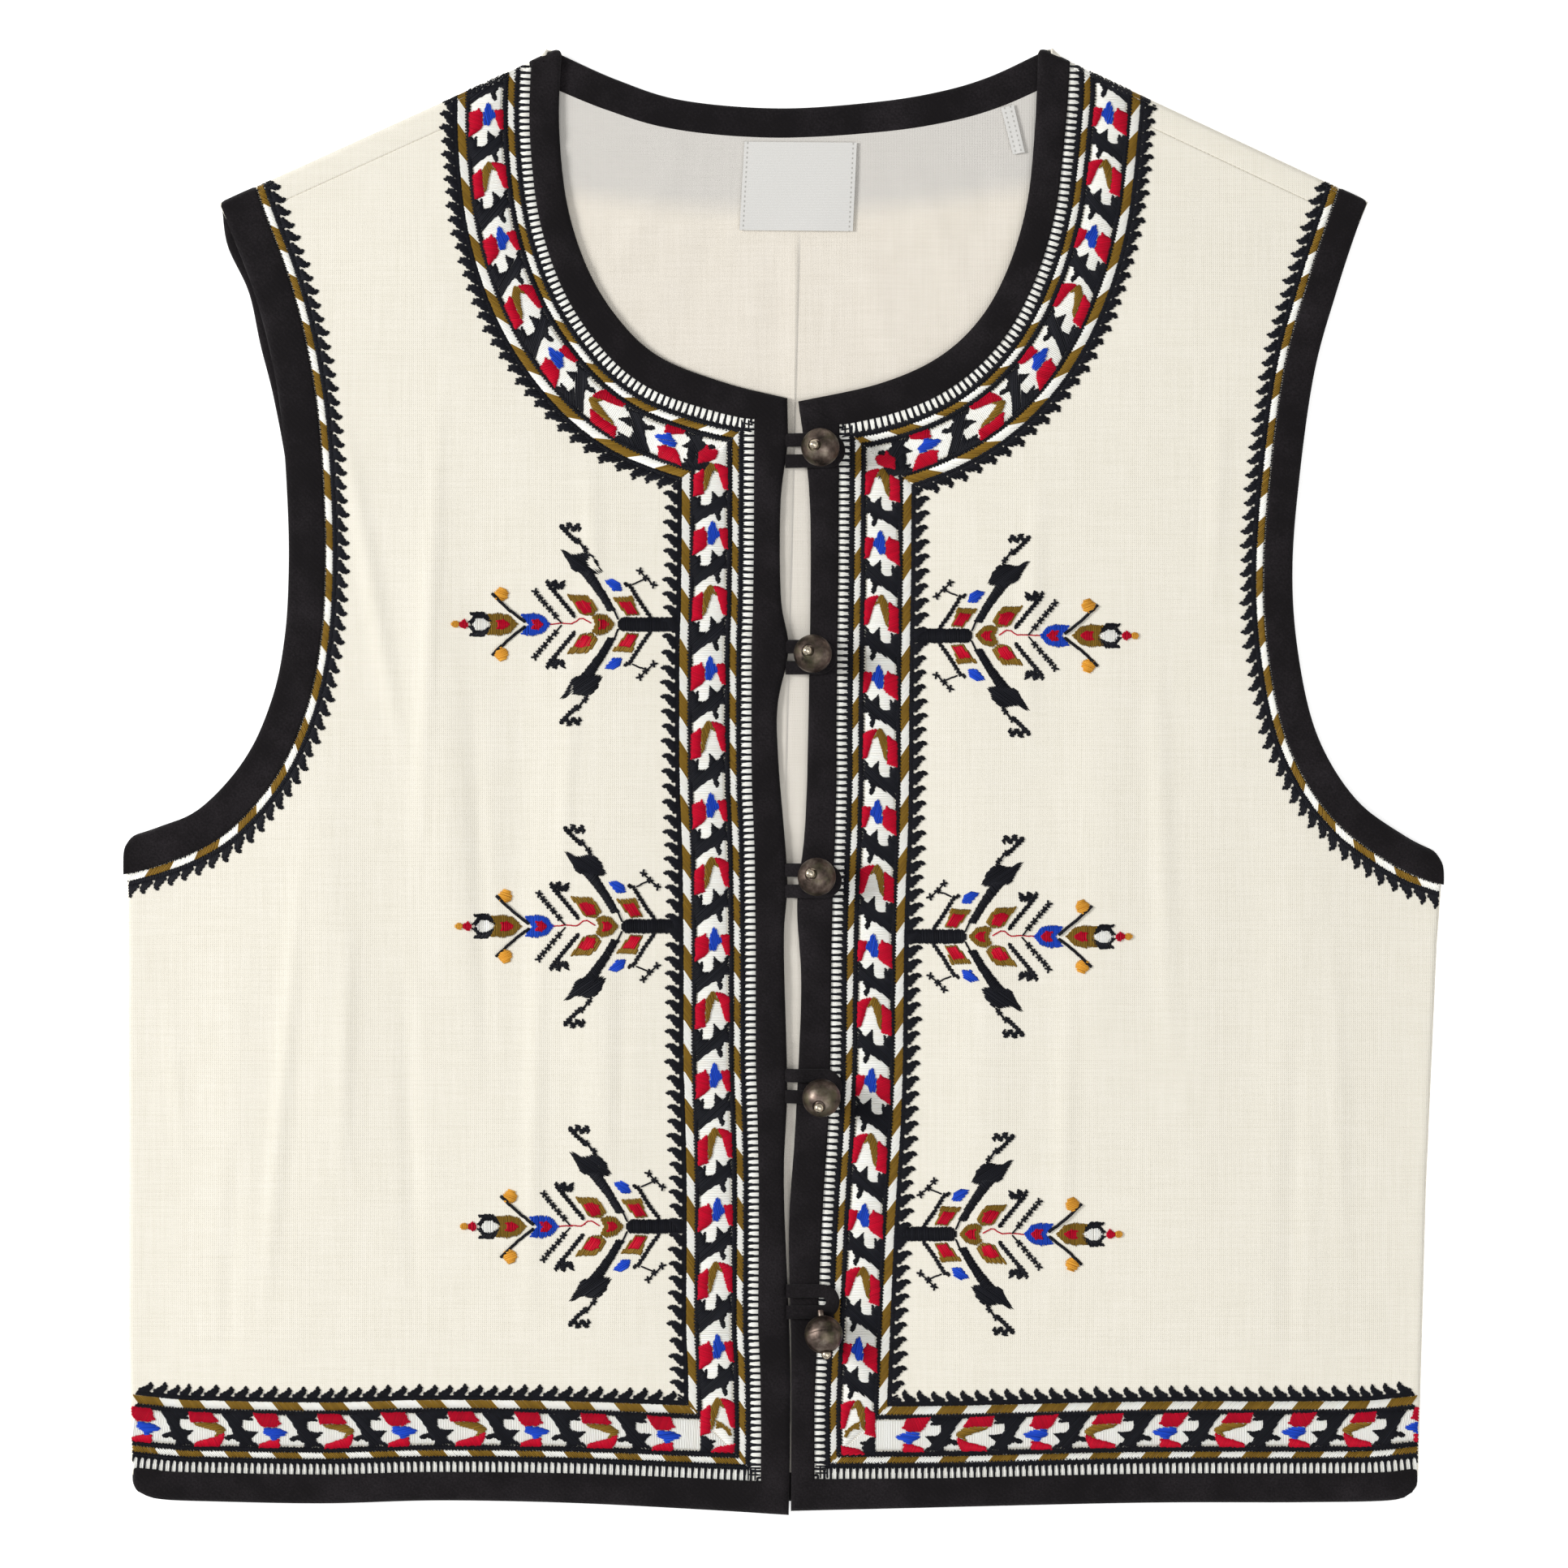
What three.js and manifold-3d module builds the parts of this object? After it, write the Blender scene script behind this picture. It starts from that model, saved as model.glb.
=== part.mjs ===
// A cropped, lined waistcoat of cream cotton, bound in black and closed by five ball buttons in loops.
// It lies flat on its back, front up. Millimetres: +X to the wearer's left, +Y to the neck, +Z up.
// Right and left are the wearer's. Each edge is a curve through a few rows, in plan.
import * as THREE from 'three';
import { mergeVertices } from 'three/addons/utils/BufferGeometryUtils.js';
import Module from 'manifold-3d';

const wasm = await Module();
wasm.setup();

// Walls and layers
const seamGap = 0.3; // between neighbouring pieces
const backWall = 1.2;
const liningWall = 1.0;
const frontWall = 1.5;
const bindingWall = backWall + seamGap + liningWall;
const frontRest = bindingWall + seamGap; // underside of the fronts where they lie on the back
const turnHeight = bindingWall + seamGap / 2; // height of the line that a binding turns over
const edgeRound = 0.9; // rounding along a binding's folded edge
const foldShares = { mouth: 0.8, top: 0.68, foot: 0.32 }; // shares of a binding's wall where its corners lie
const endGap = seamGap * 0.75; // drawn back at each end of a strip, clear of the next one

// Cutters: their floor and ceiling, and how far they run past a strip and past what they cut
const cutFloor = -1;
const cutDepth = 40;
const stripSpare = { ends: 9, outside: 6 };
const cutSpare = 20;

// Shoulders: the fold from the neck point to the tip. The back runs over it to a seam on the front.
const shoulderSeamInset = 9.6;
const neckPoint = { right: { x: -83.2, y: 271.2 }, left: { x: 95.2, y: 271.5 } };
const shoulderTip = { right: { x: -208.9, y: 214 }, left: { x: 216.4, y: 214.6 } };

// Sides, from the underarm to the hem
const sideEdge = {
  right: [{ x: -243.9, y: -22 }, { x: -242.6, y: -40 }, { x: -242.3, y: -205 }, { x: -240.9, y: -264 }],
  left: [{ x: 244, y: -28 }, { x: 241.6, y: -60 }, { x: 237.6, y: -150 }, { x: 234.5, y: -264 }],
};

// Front edges of the neck, from the front corner up to the shoulder
const neckEdge = {
  right: [
    { x: 1.4, y: 141.6 }, { x: -21.4, y: 147.2 }, { x: -45.8, y: 156.8 }, { x: -61.3, y: 171.2 },
    { x: -72.8, y: 190.3 }, { x: -80.2, y: 214.3 }, { x: -83, y: 243.1 },
  ],
  left: [
    { x: 5.4, y: 140.4 }, { x: 35.5, y: 147 }, { x: 57.4, y: 156.8 }, { x: 72.8, y: 171.2 },
    { x: 83.2, y: 190.3 }, { x: 90.1, y: 214.3 }, { x: 93, y: 243.1 },
  ],
};

// Back of the neck, from the right shoulder to the left one
const backNeckEdge = [
  { x: -61.6, y: 259.6 }, { x: -37.6, y: 252.1 }, { x: -1.6, y: 249.1 }, { x: 34.4, y: 251.5 },
  { x: 58.3, y: 255.4 }, { x: 76.3, y: 260.8 },
];

// Front edges, from the hem corner up to the neck corner; each loop pulls the right one out a little
const frontEdge = {
  right: [
    { x: 1.9, y: -271.3 }, { x: 2.4, y: -240 }, { x: 2.3, y: -209 }, { x: 0.1, y: -149 },
    { x: 1.3, y: -113 }, { x: 0.1, y: -60 }, { x: 1.3, y: -35 }, { x: -1.9, y: 7 }, { x: -2.2, y: 28 },
    { x: 1.8, y: 49 }, { x: -1, y: 68 }, { x: -1.1, y: 103 }, { x: 1.6, y: 126 }, { x: 1.4, y: 141.6 },
  ],
  left: [
    { x: 4.3, y: -270.1 }, { x: 3.2, y: -240 }, { x: 3.1, y: -209 }, { x: 2, y: -165 }, { x: 4.3, y: -128 },
    { x: 6.5, y: -77 }, { x: 5, y: -45 }, { x: 7.9, y: -17 }, { x: 9.2, y: 25 }, { x: 9.8, y: 100 },
    { x: 5.4, y: 140.4 },
  ],
};

// Hem of the fronts from the front corner to the side, and hem of the back from left to right
const hemEdge = {
  right: [
    { x: 1.9, y: -271.3 }, { x: -31.6, y: -269.2 }, { x: -79.6, y: -266.8 }, { x: -127.6, y: -265.9 },
    { x: -169.7, y: -267 }, { x: -210, y: -266.3 }, { x: -231, y: -265.4 },
  ],
  left: [
    { x: 4.3, y: -270.1 }, { x: 40.4, y: -268.9 }, { x: 130.3, y: -266.8 }, { x: 190.3, y: -266.6 },
    { x: 224, y: -265.9 },
  ],
};
const backHemEdge = [{ x: 150, y: -264.4 }, { x: 0, y: -266.5 }, { x: -150, y: -264.4 }];
const hemCornerDrop = { right: 262.8, left: 263.2 }; // the hem binding's edge, where it turns at the side

// Armholes from the shoulder tip to the underarm. The back shows past the front near the right tip.
const armholeFront = {
  right: [
    { x: -204.7, y: 203.9 }, { x: -195.9, y: 181.1 }, { x: -189.6, y: 158 }, { x: -185.4, y: 133 },
    { x: -183.3, y: 104 }, { x: -182.8, y: 79 }, { x: -184.2, y: 54 }, { x: -188.8, y: 31 },
    { x: -198.8, y: 8.5 }, { x: -215, y: -9.5 }, { x: -230.5, y: -17 }, { x: -244, y: -21.5 },
  ],
  left: [
    { x: 211.6, y: 203 }, { x: 204.4, y: 181 }, { x: 196.3, y: 152 }, { x: 190.9, y: 115 },
    { x: 188, y: 79 }, { x: 190, y: 48 }, { x: 197, y: 17.5 }, { x: 211, y: -6 }, { x: 230, y: -20.8 },
    { x: 244, y: -27.5 },
  ],
};
// Inner edge of the front bindings, from the hem up
const frontInner = {
  right: [
    { x: -8.5, y: -275 }, { x: -8.3, y: -240 }, { x: -8.6, y: -218 }, { x: -9.4, y: -200 },
    { x: -9.2, y: -178 }, { x: -9.1, y: -150 }, { x: -9.6, y: -125 }, { x: -10.3, y: -105 },
    { x: -10.3, y: -60 }, { x: -10.7, y: -25 }, { x: -11.6, y: -5 }, { x: -11.9, y: 12 },
    { x: -11.8, y: 50 }, { x: -11.3, y: 64 }, { x: -11, y: 85 }, { x: -10.8, y: 145 },
  ],
  left: [
    { x: 11.5, y: -275 }, { x: 11.4, y: -230 }, { x: 12.2, y: -212 }, { x: 13.1, y: -188 },
    { x: 13.9, y: -170 }, { x: 14.8, y: -152 }, { x: 15.8, y: -138 }, { x: 16.6, y: -125 },
    { x: 17.3, y: -104 }, { x: 17.7, y: -62 }, { x: 18.2, y: -41 }, { x: 19.1, y: -20 },
    { x: 19.6, y: 0 }, { x: 19.6, y: 22 }, { x: 19.9, y: 50 }, { x: 20.3, y: 74 }, { x: 20.7, y: 145 },
  ],
};
const armholeBack = {
  right: [
    { x: -205.8, y: 198 }, { x: -198, y: 181 }, { x: -193.7, y: 161.5 }, { x: -188.6, y: 141 },
    { x: -183.6, y: 112 }, { x: -182, y: 79 }, { x: -183.4, y: 54 }, { x: -188.6, y: 31 },
    { x: -200, y: 7.5 }, { x: -216, y: -10 }, { x: -230.5, y: -16.6 }, { x: -244, y: -21 },
  ],
  left: [
    { x: 211, y: 203 }, { x: 203.8, y: 181 }, { x: 195.7, y: 152 }, { x: 190.3, y: 115 },
    { x: 187.4, y: 79 }, { x: 189.4, y: 48 }, { x: 196.4, y: 18 }, { x: 210.4, y: -5.4 },
    { x: 230, y: -20.2 }, { x: 244, y: -27 },
  ],
};

// Widths of the bindings, even steps along each edge
const neckWidths = { right: [10.4, 12, 11.6, 10.9, 10.9], left: [11.4, 12.3, 11, 10.9, 12] };
const backNeckWidths = [12.6, 11.2, 11, 11.6, 12.2];
const neckTurnWidth = 12.4;
const widestFront = 11;
const hemWidths = { right: [12, 11.2, 10.6, 10.8, 10.6], left: [11.8, 10.8, 10.8, 10.8, 10.6] };
const hemTurnWidth = 9;
const backHemWidths = [10.8, 10.8];
const armholeWidths = { right: [14.2, 13.6, 13.4, 13.2, 13], left: [11, 11, 10.4, 11.2, 10.8] };
const armholeTurnWidth = { right: 14.6, left: 11.6 };
const cornerStep = 13; // between sections where an edge bends
const straightStep = 26; // where it runs nearly straight
const frontStep = 15.6; // down the front edges, which wave a little
const cornerSpare = 2; // least run of a binding's inner edge beside a mitre
const turnSteps = 4; // sections round a half turn

// Soft relief of the fronts: air under them, and long shallow folds pressed by storage
const airRise = 2;
const airReach = 65; // distance from an edge over which the air fades
const neckOval = { x: 5, y: 270, across: 88, along: 128 };
const folds = [
  { x: -127, top: 120, foot: -75, lean: -10, width: 10, rise: 1.2 },
  { x: -98, top: 60, foot: -130, lean: 4, width: 9, rise: -0.9 },
  { x: -168, top: 20, foot: -170, lean: -6, width: 12, rise: 1 },
  { x: -206, top: -40, foot: -220, lean: 3, width: 10, rise: 0.8 },
  { x: -66, top: -10, foot: -190, lean: -3, width: 9, rise: 0.7 },
  { x: 118, top: 90, foot: -150, lean: 8, width: 13, rise: 0.8 },
  { x: 172, top: 30, foot: -190, lean: 5, width: 14, rise: -0.8 },
  { x: 74, top: 10, foot: -180, lean: 2, width: 11, rise: 0.6 },
];
const gridStep = { x: 9, y: 30 };
const gridSpare = 3; // the grid's margin round a front

// Buttons: each ball's middle, and how far its knob leans from straight above it
const ball = { radius: 7.05, knobRadius: 1.8, knobReach: 7.7, shankRadius: 1.1, shankReach: 9.2 };
const ballFacets = { sides: 16, ball: 9, knob: 3 };
const knobShares = { waist: 0.8, end: 0.8 }; // of the knob's radius where it leaves the ball, and of its half turn
const leanReach = 8; // distance from the ball's middle at which a knob's lean is given
const buttons = [
  { x: 13.5, y: 122.8, leanX: -2.6, leanY: 0.6 },
  { x: 10.7, y: 46.9, leanX: -2.2, leanY: 1 },
  { x: 12.2, y: -35.2, leanX: -2.6, leanY: 1.4 },
  { x: 13.9, y: -116.5, leanX: -1.1, leanY: -3.3 },
  { x: 14.7, y: -203.7, leanX: 1, leanY: -7.3, hangsFrom: { x: 14.3, y: -192.2 } },
];
const loop = { width: 5, wall: 2, bend: 3.9, bendSteps: 6 };
const loopSection = [ // shares of the width and of the wall
  { aside: -0.5, up: 0.2 }, { aside: -0.38, up: 0.5 }, { aside: 0.38, up: 0.5 }, { aside: 0.5, up: 0.2 },
  { aside: 0.5, up: -0.2 }, { aside: 0.38, up: -0.5 }, { aside: -0.38, up: -0.5 }, { aside: -0.5, up: -0.2 },
];

// Neck label and care tab, both blank, on the lining under the back of the neck
const labelWall = 0.8;
const label = [{ x: -14.5, y: 236.5 }, { x: 27.1, y: 236.2 }, { x: 25.6, y: 203.4 }, { x: -16.3, y: 203.8 }];
const careTab = [{ x: 80.4, y: 249 }, { x: 85.1, y: 250.2 }, { x: 89.2, y: 232.6 }, { x: 84.8, y: 231.8 }];
const pleat = { x: 6, width: 7, rise: 0.7, top: 201, foot: 151 }; // folded into the lining below the label
const liningInset = { fold: 4.5, side: backWall + 1 }; // from the shoulder folds and from the sides

const cloth = new THREE.MeshStandardMaterial({ color: '#f3eddc', roughness: 0.9 });
const lining = new THREE.MeshStandardMaterial({ color: '#ddd8cd', roughness: 0.85 });
const binding = new THREE.MeshStandardMaterial({ color: '#1e1a1e', roughness: 0.9 });
const metal = new THREE.MeshStandardMaterial({ color: '#6e655a', roughness: 0.4, metalness: 1 });
const tape = new THREE.MeshStandardMaterial({ color: '#f6f4ee', roughness: 0.6 });

const garment = new THREE.Group();

function addPiece(name, geometry, material) {
  const piece = new THREE.Mesh(geometry, material);
  piece.name = name;
  garment.add(piece);
  return piece;
}

// Booleans
function toSolid(geometry) {
  const bare = geometry.clone();
  bare.deleteAttribute('normal');
  bare.deleteAttribute('uv');
  const welded = mergeVertices(bare, 1e-4);
  const mesh = new wasm.Mesh({
    numProp: 3,
    vertProperties: new Float32Array(welded.attributes.position.array),
    triVerts: new Uint32Array(welded.index.array),
  });
  return new wasm.Manifold(mesh);
}

function toGeometry(solid) {
  const mesh = solid.getMesh();
  const geometry = new THREE.BufferGeometry();
  geometry.setAttribute('position', new THREE.BufferAttribute(mesh.vertProperties, 3));
  geometry.setIndex(new THREE.BufferAttribute(mesh.triVerts, 1));
  return geometry;
}

function prism(outline, bottom, top) {
  const shape = new THREE.Shape(outline.map(({ x, y }) => new THREE.Vector2(x, y)));
  const geometry = new THREE.ExtrudeGeometry(shape, { depth: top - bottom, bevelEnabled: false });
  return toSolid(geometry.translate(0, 0, bottom));
}

const cutAll = (solid, cutters) => cutters.reduce((rest, cutter) => rest.subtract(cutter), solid);

// Relief of the fronts
function heightAlong(line, x) {
  const share = (x - line[0].x) / (line[1].x - line[0].x);
  return THREE.MathUtils.lerp(line[0].y, line[1].y, share);
}

function lift(x, y) {
  const front = x < frontEdge.right[0].x ? 'right' : 'left';
  const fade = (distance) => THREE.MathUtils.smoothstep(distance, 0, airReach);
  const fromShoulder = heightAlong([neckPoint[front], shoulderTip[front]], x) - y - shoulderSeamInset;
  const fromSide = Math.abs(sideEdge[front].at(-1).x) - Math.abs(x);
  const fromHem = y - hemEdge[front][0].y - hemWidths[front][0];
  const fromCentre = Math.abs(x - frontEdge.right[0].x) - widestFront;
  const oval = Math.hypot((x - neckOval.x) / neckOval.across, (y - neckOval.y) / neckOval.along);
  const fromNeck = (oval - 1) * neckOval.across;
  const air = fade(fromShoulder) * fade(fromSide) * fade(fromHem) * fade(fromCentre) * fade(fromNeck);
  const relief = folds.reduce((sum, fold) => {
    const share = (y - fold.foot) / (fold.top - fold.foot);
    if (share <= 0 || share >= 1) return sum;
    const away = (x - fold.x - fold.lean * (share - 0.5)) / fold.width;
    return sum + fold.rise * Math.sin(Math.PI * share) * Math.exp(-away * away);
  }, 0);
  return Math.max(0, airRise * air + relief * fade(fromSide) * fade(fromCentre));
}

// A wall of even thickness over the relief, wide enough to cut the front from
function reliefWall(left, right, bottom, top) {
  const columns = Math.round((right - left) / gridStep.x);
  const rows = Math.round((top - bottom) / gridStep.y);
  const position = [];
  for (const rise of [0, frontWall]) {
    for (let row = 0; row <= rows; row += 1) {
      for (let column = 0; column <= columns; column += 1) {
        const x = THREE.MathUtils.lerp(left, right, column / columns);
        const y = THREE.MathUtils.lerp(bottom, top, row / rows);
        position.push(x, y, frontRest + lift(x, y) + rise);
      }
    }
  }
  const across = columns + 1;
  const layer = across * (rows + 1);
  const index = [];
  const quad = (a, b, c, d) => index.push(a, b, c, a, c, d);
  for (let row = 0; row < rows; row += 1) {
    for (let column = 0; column < columns; column += 1) {
      const corner = row * across + column;
      quad(corner, corner + across, corner + across + 1, corner + 1);
      quad(layer + corner, layer + corner + 1, layer + corner + across + 1, layer + corner + across);
    }
    const start = row * across;
    const end = start + columns;
    quad(start, layer + start, layer + start + across, start + across);
    quad(end, end + across, layer + end + across, layer + end);
  }
  for (let column = 0; column < columns; column += 1) {
    const far = rows * across + column;
    quad(column, column + 1, layer + column + 1, layer + column);
    quad(far, layer + far, layer + far + 1, far + 1);
  }
  const geometry = new THREE.BufferGeometry();
  geometry.setAttribute('position', new THREE.Float32BufferAttribute(position, 3));
  geometry.setIndex(index);
  return toSolid(geometry);
}

// Sections of a binding along an edge. side is 1 where the cloth is on the left of the way the rows run.
function widthAt(widths, share) {
  const place = share * (widths.length - 1);
  const before = Math.min(Math.floor(place), widths.length - 2);
  return THREE.MathUtils.lerp(widths[before], widths[before + 1], place - before);
}

function sectionsAlong(rows, side, widths, step, turn) {
  const curve = new THREE.SplineCurve(rows.map(({ x, y }) => new THREE.Vector2(x, y)));
  const count = Math.round(curve.getLength() / step);
  return curve.getSpacedPoints(count).map((edge, i) => {
    const along = curve.getTangentAt(i / count);
    const width = widthAt(widths, i / count);
    const across = new THREE.Vector2(-along.y, along.x).multiplyScalar(side * width);
    return { edge, along, across, width, turn };
  });
}

// Sections of a front edge, each across to the binding's inner edge
function frontSections(side, clothOn) {
  const inner = frontInner[side];
  return sectionsAlong(frontEdge[side], clothOn, [1, 1], frontStep, 0).map((section) => {
    const next = inner.findIndex(({ y }) => y > section.edge.y);
    const [low, high] = [inner[next - 1], inner[next]];
    const reach = THREE.MathUtils.mapLinear(section.edge.y, low.y, high.y, low.x, high.x) - section.edge.x;
    const width = reach / section.across.x;
    return { ...section, across: section.across.multiplyScalar(width), width };
  });
}

// A fold line from one end to the other, with the direction that points off the garment
function foldLine(start, end) {
  const from = new THREE.Vector2(start.x, start.y);
  const to = new THREE.Vector2(end.x, end.y);
  const along = to.clone().sub(from).normalize();
  return { start: from, end: to, along, outward: new THREE.Vector2(-along.y, along.x) };
}

const shoulderFold = {
  right: foldLine(shoulderTip.right, neckPoint.right),
  left: foldLine(neckPoint.left, shoulderTip.left),
};
const sideOutward = { right: new THREE.Vector2(-1, 0), left: new THREE.Vector2(1, 0) };
const insetFrom = (point, outward, depth) => point.clone().addScaledVector(outward, -depth);

// The half turn of a binding over a fold, from the layer at one turn angle to the other
function turnSections(edge, across, outward, from, to) {
  return Array.from({ length: turnSteps + 1 }, (_, i) => ({
    edge, across, outward, width: across.length(), turn: THREE.MathUtils.lerp(from, to, i / turnSteps),
  }));
}

// Two bindings meet in a mitre: both end sections run from the outer corner to the inner one
function mitre(before, after) {
  const [one, two] = [before, after].map(({ across }) => across.clone().normalize());
  const cross = one.x * two.y - one.y * two.x;
  const corner = new THREE.Vector2(
    (before.width * two.y - after.width * one.y) / cross,
    (after.width * one.x - before.width * two.x) / cross,
  );
  before.across = corner;
  after.across = corner.clone();
}

// Leaves out the section after a mitre that the mitre's inner corner reaches past
function clearCorner(sections) {
  const [corner, next] = sections;
  const past = next.edge.clone().add(next.across).sub(corner.edge).sub(corner.across);
  if (past.dot(next.along) < cornerSpare) sections.splice(1, 1);
}

function bindingRing({ edge, across, width, turn, outward }, shift = 0, along = null) {
  const profile = [
    { inset: edgeRound, height: 0 }, { inset: width, height: 0 },
    { inset: width, height: bindingWall * foldShares.mouth }, { inset: width - edgeRound, height: bindingWall },
    { inset: edgeRound, height: bindingWall }, { inset: 0, height: bindingWall * foldShares.top },
    { inset: 0, height: bindingWall * foldShares.foot },
  ];
  return profile.map(({ inset, height }) => {
    const plan = edge.clone().addScaledVector(across, inset / width);
    if (along) plan.addScaledVector(along, shift);
    const reach = seamGap / 2 + height;
    const rise = turn === 0 ? lift(plan.x, plan.y) : 0;
    if (outward) plan.addScaledVector(outward, reach * Math.sin(turn));
    return new THREE.Vector3(plan.x, plan.y, turnHeight + reach * Math.cos(turn) + rise);
  });
}

// A closed body through rings of points, with flat ends
function loft(rings) {
  const size = rings[0].length;
  const last = (rings.length - 1) * size;
  const index = [];
  for (let start = 0; start < last; start += size) {
    for (let i = 0; i < size; i += 1) {
      const next = (i + 1) % size;
      index.push(start + i, start + next, start + size + next);
      index.push(start + i, start + size + next, start + size + i);
    }
  }
  for (let i = 1; i < size - 1; i += 1) {
    index.push(0, i + 1, i);
    index.push(last, last + i, last + i + 1);
  }
  const geometry = new THREE.BufferGeometry().setFromPoints(rings.flat());
  geometry.setIndex(index);
  return geometry;
}

// The same section on an edge that is followed the other way
function reversed(section) {
  return { ...section, along: section.along.clone().negate() };
}

function bindingStrip(sections) {
  return loft(sections.map((section, i) => {
    const isEnd = i === 0 || i === sections.length - 1;
    const shift = i === 0 ? endGap : -endGap;
    return bindingRing(section, shift, isEnd ? section.along : null);
  }));
}

// The space that a binding takes from the cloth beside it, in its own layer
function bindingSpace(sections, extendStart, extendEnd, layer) {
  const ends = [
    { ...sections[0], offset: extendStart.clone().multiplyScalar(stripSpare.ends) },
    ...sections,
    { ...sections.at(-1), offset: extendEnd.clone().multiplyScalar(stripSpare.ends) },
  ];
  const side = (inset) => ends.map(({ edge, across, width, offset }) => {
    const point = edge.clone().addScaledVector(across, inset(width) / width);
    return offset ? point.add(offset) : point;
  });
  const outline = [...side(() => -stripSpare.outside), ...side((width) => width + seamGap).reverse()];
  if (THREE.ShapeUtils.area(outline) < 0) outline.reverse();
  const [bottom, top] = layer === 'front' ? [turnHeight, cutDepth] : [cutFloor, turnHeight];
  return prism(outline, bottom, top);
}

// Edge sections of both fronts and the back
const front = {};
for (const side of ['right', 'left']) {
  const isRight = side === 'right';
  const fold = shoulderFold[side];
  const neckEnd = insetFrom(isRight ? fold.end : fold.start, fold.outward, turnHeight);
  const tipStart = insetFrom(isRight ? fold.start : fold.end, fold.outward, turnHeight);
  const toTip = fold.along.clone().multiplyScalar(isRight ? -1 : 1);
  const hemTurn = new THREE.Vector2(sideEdge[side].at(-1).x, -hemCornerDrop[side]);
  const hemEnd = insetFrom(hemTurn, sideOutward[side], turnHeight);
  const clothOn = isRight ? 1 : -1;
  const neck = sectionsAlong([...neckEdge[side], neckEnd], clothOn, neckWidths[side], cornerStep, 0);
  const edge = frontSections(side, clothOn);
  const hem = sectionsAlong([...hemEdge[side], hemEnd], -clothOn, hemWidths[side], straightStep, 0);
  const [armhole, armholeOver] = [[armholeFront, 0], [armholeBack, Math.PI]].map(([rows, turn]) => (
    sectionsAlong([tipStart, ...rows[side]], clothOn, armholeWidths[side], cornerStep, turn)
  ));
  mitre(edge.at(-1), neck[0]);
  mitre(hem[0], edge[0]);
  clearCorner(neck);
  clearCorner(hem);
  neck.at(-1).across = toTip.clone().multiplyScalar(neckTurnWidth);
  hem.at(-1).across = new THREE.Vector2(0, hemTurnWidth);
  for (const row of [armhole, armholeOver]) {
    row[0].across = toTip.clone().multiplyScalar(-armholeTurnWidth[side]);
    row.at(-1).across = new THREE.Vector2(0, -row.at(-1).width);
  }
  front[side] = { neck, edge, hem, armhole, armholeOver, fold, neckEnd, tipStart, toTip, hemEnd };
}
const backNeck = sectionsAlong(
  [front.right.neckEnd, ...backNeckEdge, front.left.neckEnd], -1, backNeckWidths, cornerStep, Math.PI,
);
backNeck[0].across = front.right.toTip.clone().multiplyScalar(neckTurnWidth);
backNeck.at(-1).across = front.left.toTip.clone().multiplyScalar(neckTurnWidth);
const backHem = sectionsAlong(
  [front.left.hemEnd, ...backHemEdge, front.right.hemEnd], -1, backHemWidths, straightStep, Math.PI,
);
backHem[0].across = new THREE.Vector2(0, hemTurnWidth);
backHem.at(-1).across = new THREE.Vector2(0, hemTurnWidth);

// Spaces of the bindings, by layer
function frontSpaces(side) {
  const { neck, edge, hem, armhole, fold } = front[side];
  const border = [...hem.toReversed(), ...edge.slice(1), ...neck.slice(1)];
  return [
    bindingSpace(border, sideOutward[side], fold.outward, 'front'),
    bindingSpace(armhole, fold.outward, sideOutward[side], 'front'),
  ];
}
function backSpaces() {
  return [
    bindingSpace(backNeck, front.right.fold.outward, front.left.fold.outward, 'back'),
    bindingSpace(backHem, sideOutward.left, sideOutward.right, 'back'),
    bindingSpace(front.right.armholeOver, front.right.fold.outward, sideOutward.right, 'back'),
    bindingSpace(front.left.armholeOver, front.left.fold.outward, sideOutward.left, 'back'),
  ];
}

const edgePoints = (sections) => sections.map(({ edge }) => edge);

function makeFront(side) {
  const { neck, edge, hem, armhole, fold } = front[side];
  const outline = [
    ...edgePoints(hem.toReversed()), ...edgePoints(edge.slice(1)), ...edgePoints(neck.slice(1)),
    ...edgePoints(armhole), ...sideEdge[side].slice(0, -1),
    { x: sideEdge[side].at(-1).x, y: -hemCornerDrop[side] },
  ];
  if (side === 'left') outline.reverse();
  const xs = outline.map(({ x }) => x);
  const ys = outline.map(({ y }) => y);
  const wall = reliefWall(
    Math.min(...xs) - gridSpare, Math.max(...xs) + gridSpare,
    Math.min(...ys) - gridSpare, Math.max(...ys) + gridSpare,
  );
  const seamInset = shoulderSeamInset + seamGap;
  const beyondSeam = [
    insetFrom(fold.start, fold.outward, seamInset).addScaledVector(fold.along, -cutSpare),
    insetFrom(fold.end, fold.outward, seamInset).addScaledVector(fold.along, cutSpare),
    insetFrom(fold.end, fold.outward, -cutSpare).addScaledVector(fold.along, cutSpare),
    insetFrom(fold.start, fold.outward, -cutSpare).addScaledVector(fold.along, -cutSpare),
  ];
  const cutters = [...frontSpaces(side), prism(beyondSeam, cutFloor, cutDepth)];
  return toGeometry(cutAll(wall.intersect(prism(outline, cutFloor, cutDepth)), cutters));
}

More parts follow.
